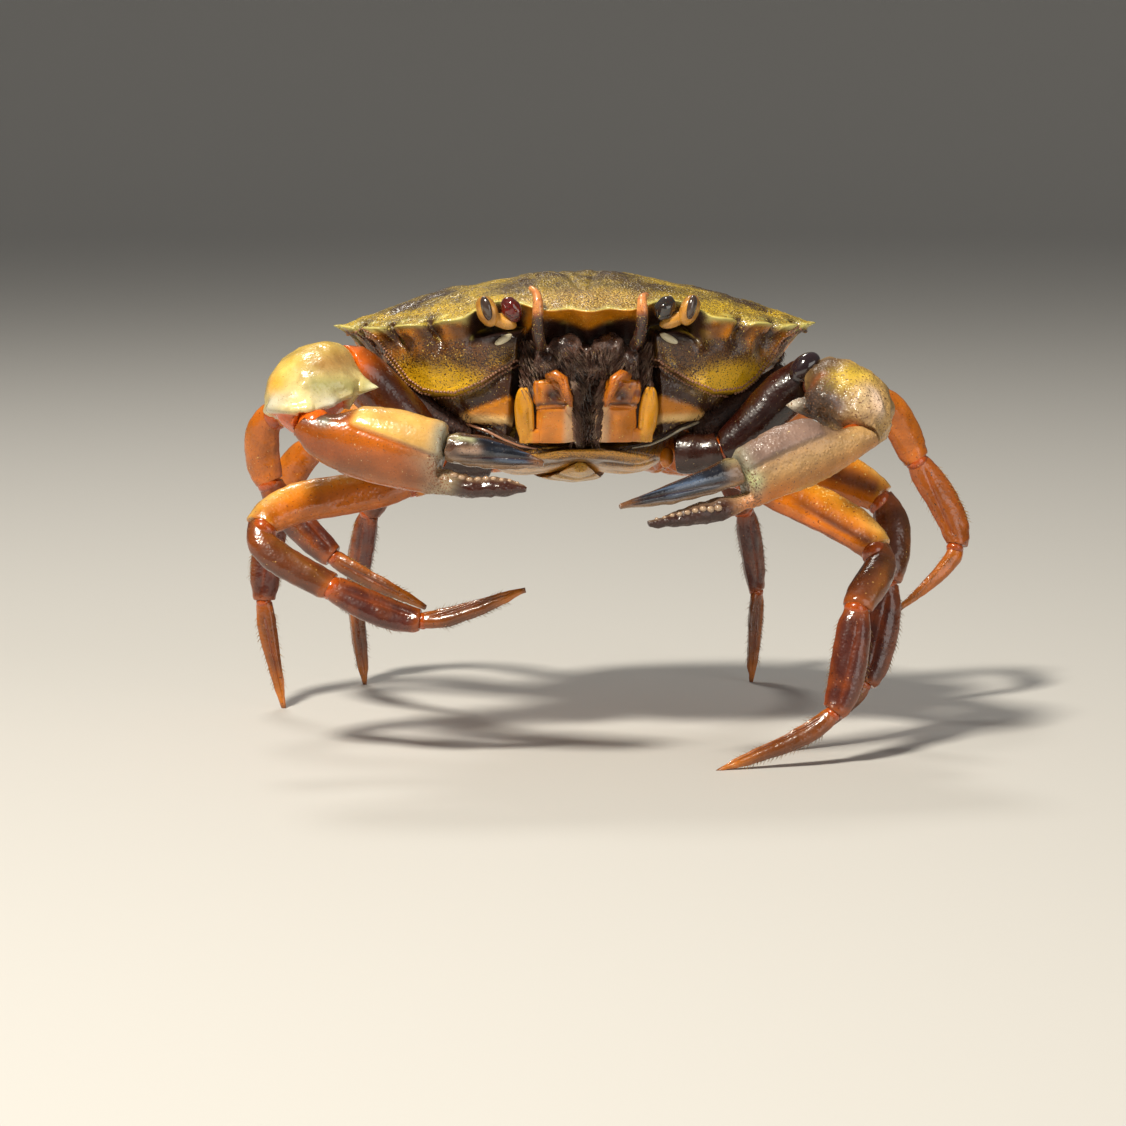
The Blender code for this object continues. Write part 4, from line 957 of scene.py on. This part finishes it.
WRIST_STROKES = {
    "right": (((-34.0, -18, -5.2), (-29.5, -16, -3.6), 3.2, 0.9, WRIST_YELLOW),
              ((-35.2, -18.6, -8.3), (-34.4, -19.5, -9.2), 1.3, 0.85, tint(238, 164, 48)),
              ((-29.4, -19.2, -6.8), (-26.6, -17.0, -5.6), 1.9, 0.75, tint(158, 106, 52)),
              ((-35.4, -19.8, -11.2), (-29.0, -20.6, -11.0), 1.2, 0.9, tint(208, 204, 184)),
              ((-30.4, -21.2, -9.4), (-24.2, -18.4, -9.0), 1.0, 0.85, tint(168, 164, 104)),
              ((-24.2, -18.5, -9.2), (-23.2, -18.5, -9.2), 0.6, 0.9, tint(226, 222, 180))),
    # Left: the first two strokes paint shade on the hollow front that faces down.
    "left": (((24.9, -16.6, -12.2), (26.2, -17.2, -7.6), 2.9, 0.97, tint(50, 36, 34)),
             ((26.0, -17.6, -9.6), (27.4, -19.2, -12.2), 1.7, 0.95, tint(58, 42, 42)),
             ((31.5, -17, -7.0), (28.9, -18.2, -8.2), 1.9, 0.97, tint(228, 190, 66)),
             # A painted grey-purple highlight.
             ((27.8, -19.6, -12.2), (27.0, -18.8, -10.6), 0.6, 0.7, tint(128, 114, 116)),
             ((26.4, -17.2, -8.2), (25.6, -16.8, -8.8), 0.7, 0.8, tint(136, 76, 36)),
             # Painted shade in the recess at the bottom and where the wrist meets the arm.
             ((26.6, -18.2, -13.2), (24.8, -17.6, -12.8), 1.4, 0.95, tint(38, 22, 20)),
             ((27.9, -15.9, -5.9), (25.6, -14.6, -6.2), 1.5, 0.85, tint(74, 52, 34)),
             ((31.0, -19.4, -10.0), (29.9, -20.2, -12.4), 1.3, 0.7, tint(206, 178, 134)),
             ((32.0, -19.3, -9.4), (31.9, -19.4, -12.2), 1.0, 0.8, tint(236, 206, 184)),
             ((23.0, -16.5, -11.2), (22.1, -16.3, -11.3), 0.75, 0.85, tint(214, 204, 186)),
             ((30.5, -20.3, -13.6), (27.0, -19.8, -13.8), 1.4, 0.75, tint(172, 132, 88)))}
WRIST_BASE = {"right": WRIST_CREAM, "left": tint(190, 150, 92)}
WRIST_SWELLS = {
    "right": (((-35.4, -19.8, -11.1), (-29.0, -20.6, -10.9), 0.75, 0.45),
              ((-31.4, -20.8, -9.2), (-26.2, -18.6, -9.1), 1.2, 0.6)),
    "left": (((31.8, -19.4, -12.4), (26.6, -19.6, -13.0), 0.8, 0.35),
             ((26.0, -17.4, -10.4), (23.6, -16.8, -11.2), 1.5, 0.7),
             ((27.4, -19.6, -9.0), (25.6, -18.6, -12.6), 1.2, -0.9),
             ((30.5, -19.6, -10.2), (29.6, -20.2, -12.2), 1.0, 0.4),
             ((32.4, -17.4, -13.4), (31.0, -17.6, -14.4), 2.0, -0.9))}
ARM_STROKES = {
    # Right: the first stroke paints shade over the arm; the second is the orange of its end.
    "right": (((-22.2, -12.8, -8.0), (-16.0, -12.0, -13.4), 6.0, 0.97, tint(46, 22, 16)),
              ((-27.0, -13.5, -3.0), (-25.7, -14.0, -6.0), 1.7, 0.95, tint(224, 104, 20))),
    # Left: both dark strokes are painted shade.
    "left": (((25.2, -13.4, -5.4), (24.4, -13.6, -8.6), 2.3, 0.95, tint(48, 34, 36)),
             ((23.6, -13.0, -11.2), (16.0, -12.0, -14.0), 4.5, 0.97, tint(36, 15, 11)))}
FINGER_STROKES = {
    # Dark brown at the root: the finger's own brown, deepened as painted shade in the gap at the palm.
    "right": (((-15.7, -25.3, -16.5), (-15.0, -25.4, -18.2), 1.1, 0.9, tint(74, 46, 36)),
              ((-12.3, -25.8, -16.8), (-9.6, -25.8, -17.4), 1.2, 0.9, tint(20, 20, 28)),
              # A painted blue highlight near the tip.
              ((-10.9, -25.9, -18.1), (-6.6, -26.1, -19.1), 0.5, 0.75, tint(96, 112, 138)),
              ((-14.9, -25.2, -15.5), (-13.9, -25.4, -15.8), 0.55, 0.9, tint(206, 206, 160)),
              ((-14.6, -25.5, -17.0), (-13.4, -25.7, -17.3), 0.7, 0.85, tint(188, 150, 124)),
              # Dark brown between the lumps: the finger's own brown, deepened as painted shade.
              ((-16.0, -25.3, -16.4), (-14.2, -25.5, -16.4), 0.4, 0.85, tint(66, 42, 34))),
    # Left: a painted blue highlight.
    "left": (((11.2, -24.7, -20.7), (8.0, -25.2, -22.0), 0.6, 0.6, tint(90, 106, 132)),)}
PALM_COLOURS = {-1: (tint(178, 92, 20), tint(152, 74, 18), tint(226, 174, 92)),
                1: (tint(188, 146, 92), tint(186, 122, 56), tint(140, 112, 98))}
PALM_STROKES = {
    "right": (((-17.0, -24.6, -15.4), (-16.4, -25.0, -17.8), 1.1, 0.7, tint(120, 128, 124)),
              # Painted shade in the recess between the wrist and the palm.
              ((-31.6, -22.0, -12.8), (-28.0, -22.9, -12.4), 1.3, 0.95, tint(92, 36, 20)),
              ((-29.7, -22.9, -13.4), (-29.5, -22.9, -13.5), 0.7, 0.9, tint(112, 116, 100)),
              ((-25.8, -22.8, -18.2), (-18.8, -24.4, -19.8), 1.9, 0.7, tint(158, 86, 32)),
              ((-19.5, -25.2, -17.6), (-18.0, -25.2, -19.6), 1.5, 0.6, tint(124, 108, 88))),
    "left": (((26.0, -21.6, -14.4), (18.0, -24.0, -17.6), 1.7, 0.75, tint(136, 110, 98)),
             ((21.0, -22.0, -22.6), (17.0, -22.6, -23.6), 1.6, 0.8, tint(226, 120, 28)),
             ((17.6, -23.4, -20.6), (16.0, -23.6, -20.2), 0.8, 0.8, tint(204, 208, 150)))}
rough_finish = shell_finish("rough_claw_shell", speck=(118, 82, 56), fleck=(232, 206, 150),
                            speck_size=0.00024, grain_size=0.0004, grain_height=0.00009, roughness=0.42,
                            coat=0.3)
claw_finish = shell_finish("wet_claw_shell", speck=(120, 70, 36), fleck=(240, 214, 160), grain_height=0.00003,
                           roughness=0.3, coat=0.5, glow=0.04)
finger_finish = shell_finish("wet_finger_shell", speck=(30, 24, 26), fleck=(168, 156, 150),
                             grain_height=0.00004, roughness=0.24, coat=0.85)
for side, end in ((-1, "right"), (1, "left")):
    names = ["cheliped_%s_%s" % (end, article) for article in ARTICLES]
    joints = [meeting(a, b)[0] for a, b in zip(names[:4], names[1:4])]
    tip = far_end(names[4], joints[2])
    ends = [far_end(names[0], joints[0])] + joints + [far_end(names[4], tip), tip]
    lead = Vector((0, 0, 1))
    # The dark base article is painted shade.
    skins = [arm_skin(along(ends[0], ends[1], lead), (), tint(52, 26, 18)),
             arm_skin(along(ends[1], ends[2], lead), ARM_STROKES[end], ARM_BASE_AND_SHADE[end]),
             arm_skin(along(ends[2], ends[3], lead), WRIST_STROKES[end], WRIST_BASE[end],
                      WRIST_SWELLS[end], WRIST_ROUGH[end]),
             palm_skin(along(ends[3], ends[4], lead), side, PALM_STROKES[end]),
             finger_skin(along(ends[4], ends[5], lead), FINGER_STROKES[end])]
    if side < 0:
        skins[2] = flanged(skins[2], WRIST_LIP)
    for name, skin in zip(names, skins):
        if name.endswith("finger"):
            clad(name, name + "_shell", 3, skin, finger_finish, "finger_slate")
        else:
            rugged = side > 0 and name.endswith(("carpus", "palm"))
            clad(name, name + "_shell", 3, skin, rough_finish if rugged else claw_finish, "claw_orange")

# Claw teeth: pale rounded knobs on the edge of each fixed finger, large at the
# root and small towards the tip, one row on the inner edge.
KNOBS = 9
tooth_finish = shell_finish("wet_claw_teeth", grain_height=0.00002, roughness=0.3, coat=0.6)
for side, end in ((-1, "right"), (1, "left")):
    palm = bpy.data.objects["cheliped_%s_palm_shell" % end]
    palm_tree = BVHTree.FromObject(palm, bpy.context.evaluated_depsgraph_get())
    tip = max((INTO_BODY @ v.co / MM for v in palm.data.vertices), key=lambda point: -side * point.x)
    crotch = tip + Vector((side * 8.6, 1.0, 1.0))
    knobs = []
    for i in range(KNOBS):
        place = crotch.lerp(tip, 0.08 + 0.1 * i)
        size = 0.46 - 0.03 * i
        hit, facing = onto(palm_tree, place + Vector((0, -2.0, 2.2)), Vector((0, 0.67, -0.74)))
        if hit and (hit - place).length < 2.5:
            knobs.append((hit, facing, (size, size * 0.85, size * 0.75), 3))
    ball_piece("claw_teeth_" + end, knobs, even(TEETH_PALE, 0.1, 0.2, 0.1, 0.04), tooth_finish, "claw_orange")

# Walking legs: four a side, each of five hollow articles. Orange wet shell in
# the upper ones, maroon brown in the lower ones, amber where it runs to a tip,
# with a painted gold highlight along the top of the upper ones.
LEGS = ["leg%d_%s" % (number, end) for number in (1, 2, 3, 4) for end in ("right", "left")]
LEG_ARTICLES = ("base", "merus", "carpus", "propodus", "dactyl")
LEG_ORANGE = tint(206, 110, 14)
LEG_GOLD = tint(230, 156, 42)
LEG_DEEP = tint(150, 66, 10)
LEG_BROWN = tint(112, 62, 28)
LEG_MAROON = tint(80, 40, 33)
JOINT_RED = tint(196, 98, 28)
TIP_AMBER = tint(200, 114, 28)
TIP_HORN = tint(96, 56, 34)
TIP_CREAM = tint(220, 180, 100)
ALL_ORANGE_LEGS = ("leg3_left",)
ORANGE_CARPUS_LEGS = ("leg2_right", "leg3_right")
HAIR_MAP_SPAN = 9000


def leg_skin(kind, measured, bright):
    """One article of a leg. A bright one is more orange than others of its kind."""
    body_colour = {"base": LEG_ORANGE, "merus": LEG_ORANGE, "carpus": LEG_BROWN.lerp(LEG_MAROON, 0.5),
                   "propodus": LEG_MAROON, "dactyl": LEG_BROWN}[kind]
    dark = kind in ("carpus", "propodus", "dactyl")
    if bright:
        body_colour = body_colour.lerp(LEG_ORANGE, 0.75 if kind != "propodus" else 0.4)

    def skin(p, n):
        t, turn, length = measured(p)
        middle = ease(t, 0.06, 0.2) * (1 - ease(t, 0.8, 0.94))
        crest = exp(-(turn / 0.4) ** 2)
        keel = exp(-((pi - abs(turn)) / 0.5) ** 2)
        # The gold along the top of a base or merus is a painted highlight.
        colour = body_colour.lerp(LEG_GOLD, 0.75 * crest * (1.0 if kind in ("merus", "base") else 0.12))
        colour = colour.lerp(LEG_DEEP, 0.6 * keel if kind != "dactyl" else 0.0)
        if kind == "merus":
            band = exp(-((abs(turn) - 1.0) / 0.42) ** 2) * ease(t, 0.2, 0.6)
            colour = colour.lerp(LEG_MAROON, (0.8 if p.x > 0 else 0.3) * band)
            colour = colour.lerp(TIP_CREAM, 0.6 * ease(t, 0.75, 0.95) * crest)
        lip = exp(-(((1 - t) * length - 0.45) / 0.4) ** 2) if kind != "dactyl" else 0.0
        edge = exp(-(turn / 0.25) ** 2) + exp(-((pi - abs(turn)) / 0.25) ** 2)
        flat = exp(-((abs(turn) - pi / 2) / 0.5) ** 2)
        lift = 0.07 * lip + 0.07 * wave(p, 2.0) + (0.14 * edge - 0.12 * flat) * middle
        if kind in ("propodus", "dactyl"):
            groove = exp(-((abs(turn) - 1.25) / 0.2) ** 2) * middle
            lift -= 0.16 * groove
            colour = colour.lerp(LEG_DEEP.lerp(LEG_MAROON, 0.5), 0.6 * groove)
            colour = colour.lerp(LEG_DEEP, 0.5 * crest * (1 - groove))
        if dark:
            near = exp(-(t * length / 1.2) ** 2) + exp(-((1 - t) * length / 0.9) ** 2) * (kind != "dactyl")
            patch = ease(wave(p, 2.4, 12.0), 0.1, 0.4) * middle
            colour = colour.lerp(JOINT_RED, 0.38 * min(1.0, near) + 0.14 * patch)
        if kind == "dactyl":
            colour = colour.lerp(TIP_AMBER, max(0.35 * crest, 0.85 * ease(t, 0.55, 0.95)))
            colour = colour.lerp(TIP_HORN, ease(t, 0.93, 1.0) * 0.8)
        colour = colour.lerp(JOINT_RED if dark else LEG_GOLD, (0.15 if dark else 0.45) * lip)
        grains = crest * middle if kind == "merus" else 0.0
        lift += 0.1 * grains * max(0.0, 1 - 2.2 * noise.voronoi(p / 0.5)[0][0]) + 0.07 * wave(p, 0.9, 5.0)
        return lift, colour, (0.17 if kind != "dactyl" else 0.12, 0.6, 0.06 + 0.25 * grains)
    return skin


def edge_hairs(article, measured, onward, shelf):
    """Short hairs in two rows, along the upper and the lower edge of an article."""
    rows = []
    turn_in = INTO_BODY.to_3x3()
    for v in article.data.vertices:
        p = INTO_BODY @ v.co / MM
        t, turn, _ = measured(p)
        if min(abs(turn), pi - abs(turn)) > 0.16 or not 0.12 < t < 0.8 or dice.random() > 0.4:
            continue
        facing = turn_in @ v.normal
        lean = facing * 0.8 + onward * 0.9 + Vector([dice.uniform(-0.25, 0.25) for axis in range(3)])
        rows.append((p, lean, dice.uniform(0.3, 0.75), 0.028, (shelf, t)))
    return rows


leg_hairs = []
leg_finish = shell_finish("wet_leg_shell", speck=(116, 56, 22), fleck=(236, 190, 110), speck_size=0.0003,
                          grain_height=0.00004, roughness=0.32, coat=0.5, glow=0.05)
shank_finish = shell_finish("wet_shank_shell", speck=(58, 30, 26), fleck=(204, 140, 96), speck_size=0.0003,
                            grain_height=0.00004, roughness=0.3, coat=0.5, glow=0.03)
for leg in LEGS:
    names = ["%s_%s" % (leg, article) for article in LEG_ARTICLES]
    joints = [meeting(a, b)[0] for a, b in zip(names, names[1:])]
    ends = [far_end(names[0], joints[0])] + joints + [far_end(names[-1], joints[-1])]
    lead = Vector((1 if leg.endswith("left") else -1, 0, 0.9))
    for name, kind, start, finish in zip(names, LEG_ARTICLES, ends, ends[1:]):
        measured = along(start, finish, lead)
        bright = leg in ALL_ORANGE_LEGS or (kind == "carpus" and leg in ORANGE_CARPUS_LEGS)
        skin = leg_skin(kind, measured, bright)
        if kind in ("propodus", "dactyl"):
            article = clad(name, name + "_shell", 3, skin, shank_finish, "leg_brown")
            leg_hairs += edge_hairs(article, measured, (finish - start).normalized(),
                                    len(leg_hairs) / HAIR_MAP_SPAN)
        else:
            clad(name, name + "_shell", 3, skin, leg_finish, "leg_orange")

leg_hairs = bristles("leg_hairs", leg_hairs)
carve(leg_hairs, even(LEG_BROWN.lerp(TIP_CREAM, 0.35)))
fitted(leg_hairs, fringe_finish, "leg_brown")

# Joint skins: the soft orange membrane between the hard articles of a limb, a
# cushion seated in the mouths of both at each joint but the free fingers', and
# two bare wet knobs, a dark one on the left arm and an orange one at the left hip.
ARM_KNOB_SLATE = tint(46, 34, 38)
MEMBRANE_SHADE = {"cheliped_right": 0.0, "cheliped_left": 0.6}
LEG_MEMBRANE_SHADE = 0.45
CLAW_CUSHION_WIDTH = 0.8
LEG_CUSHION_WIDTH = 1.04
CUSHION_DEPTH = 0.8
membrane_finish = shell_finish("wet_membrane", speck=(170, 70, 20), fleck=(246, 190, 120),
                               grain_height=0.00003, roughness=0.25, coat=0.7, glow=0.3)
LIMBS = [("cheliped_" + end, ARTICLES[:4], "claw_orange") for end in ("right", "left")]
LIMBS += [(leg, LEG_ARTICLES, "leg_orange") for leg in LEGS]
for limb, articles, slot in LIMBS:
    names = [limb + "_" + article for article in articles]
    width = CLAW_CUSHION_WIDTH if limb.startswith("cheliped") else LEG_CUSHION_WIDTH
    cushions = []
    for name, after in zip(names, names[1:]):
        centre, reach = meeting(name, after)
        way = far_end(after, centre) - far_end(name, centre)
        cushions.append((centre, way, (reach * width, reach * width, reach * CUSHION_DEPTH)))
    tone = MEMBRANE_ORANGE.lerp(TEETH_DARK, MEMBRANE_SHADE.get(limb, LEG_MEMBRANE_SHADE))
    ball_piece(limb + "_membranes", cushions, even(tone, 0.1, 0.3, 0.1, 0.05), membrane_finish, slot)

ball_piece("arm_knob_left", [((24.9, -13.3, -6.6), (0.8, -0.1, 0.75), (1.4, 1.4, 2.1), 4)],
           even(ARM_KNOB_SLATE, 0.1, 0.1, 0.0, 0.05), cornea_finish, "claw_orange")
ball_piece("hip_knob_left", [((9.6, -7.6, -16.0), (0.1, 0, 1), (0.85, 0.8, 1.2), 4)],
           even(COVER_ORANGE, 0.1, 0.3, 0.1, 0.06), membrane_finish, "leg_orange")

# Floor, light and camera: a pale floor that curves up far off on all sides, one
# soft light high on the left, a weaker one on the right and one behind, and the
# photograph's own view.
FLOOR_GREY = (0.6, 0.59, 0.57)
FLOOR_REACH = 1.2
COVE = 0.8
COVE_STEPS = 10
FLOOR_SPOKES = 72
floor_bm = bmesh.new()
profile = [(0, 0)]
for i in range(COVE_STEPS + 1):
    angle = radians(90 / COVE_STEPS * i)
    profile.append((FLOOR_REACH + COVE * sin(angle), COVE * (1 - cos(angle))))
corners = [floor_bm.verts.new((x, 0, z)) for x, z in profile]
edges = [floor_bm.edges.new(pair) for pair in zip(corners, corners[1:])]
bmesh.ops.spin(floor_bm, geom=corners + edges, axis=(0, 0, 1), cent=(0, 0, 0), steps=FLOOR_SPOKES,
               angle=2 * pi)
bmesh.ops.remove_doubles(floor_bm, verts=floor_bm.verts, dist=1e-5)
bmesh.ops.recalc_face_normals(floor_bm, faces=floor_bm.faces)
bmesh.ops.reverse_faces(floor_bm, faces=floor_bm.faces)
floor_data = bpy.data.meshes.new("floor")
floor_bm.to_mesh(floor_data)
floor_bm.free()
floor_data.shade_smooth()
floor = bpy.data.objects.new("floor", floor_data)
bpy.context.scene.collection.objects.link(floor)
floor_finish = bpy.data.materials.new("pale_floor")
floor_finish.use_nodes = True
floor_shader = floor_finish.node_tree.nodes["Principled BSDF"]
floor_shader.inputs["Base Color"].default_value = (*FLOOR_GREY, 1)
floor_shader.inputs["Roughness"].default_value = 0.7
floor_data.materials.append(floor_finish)


def add_light(name, place, aim, size, power, colour):
    light = bpy.data.lights.new(name, "AREA")
    light.size = size
    light.energy = power
    light.color = colour
    lamp = bpy.data.objects.new(name, light)
    lamp.location = place
    lamp.rotation_euler = (Vector(aim) - Vector(place)).to_track_quat("-Z", "Y").to_euler()
    bpy.context.scene.collection.objects.link(lamp)


MIDDLE = (0, -0.01, 0.035)
add_light("key", (-0.24, -0.28, 0.5), MIDDLE, 0.08, 4.6, (1.0, 0.93, 0.8))
add_light("fill", (0.4, -0.5, 0.2), MIDDLE, 0.4, 1.0, (1.0, 0.97, 0.92))
add_light("back", (-0.1, 0.3, 0.5), MIDDLE, 0.1, 0.8, (1.0, 0.96, 0.88))
world = bpy.data.worlds.new("studio")
world.use_nodes = True
sky = world.node_tree.nodes["Background"]
sky.inputs["Color"].default_value = (0.82, 0.81, 0.79, 1)
sky.inputs["Strength"].default_value = 0.16
bpy.context.scene.world = world
bpy.context.scene.view_settings.view_transform = "Standard"

lens = bpy.data.cameras.new("photo_view")
lens.sensor_width = 36
lens.lens = 115.21
lens.clip_start = 0.01
camera = bpy.data.objects.new("photo_view", lens)
camera.location = (-0.04309, -0.41967, 0.07890)
camera.rotation_euler = (1.43089, 0, -0.08670)
bpy.context.scene.collection.objects.link(camera)
bpy.context.scene.camera = camera
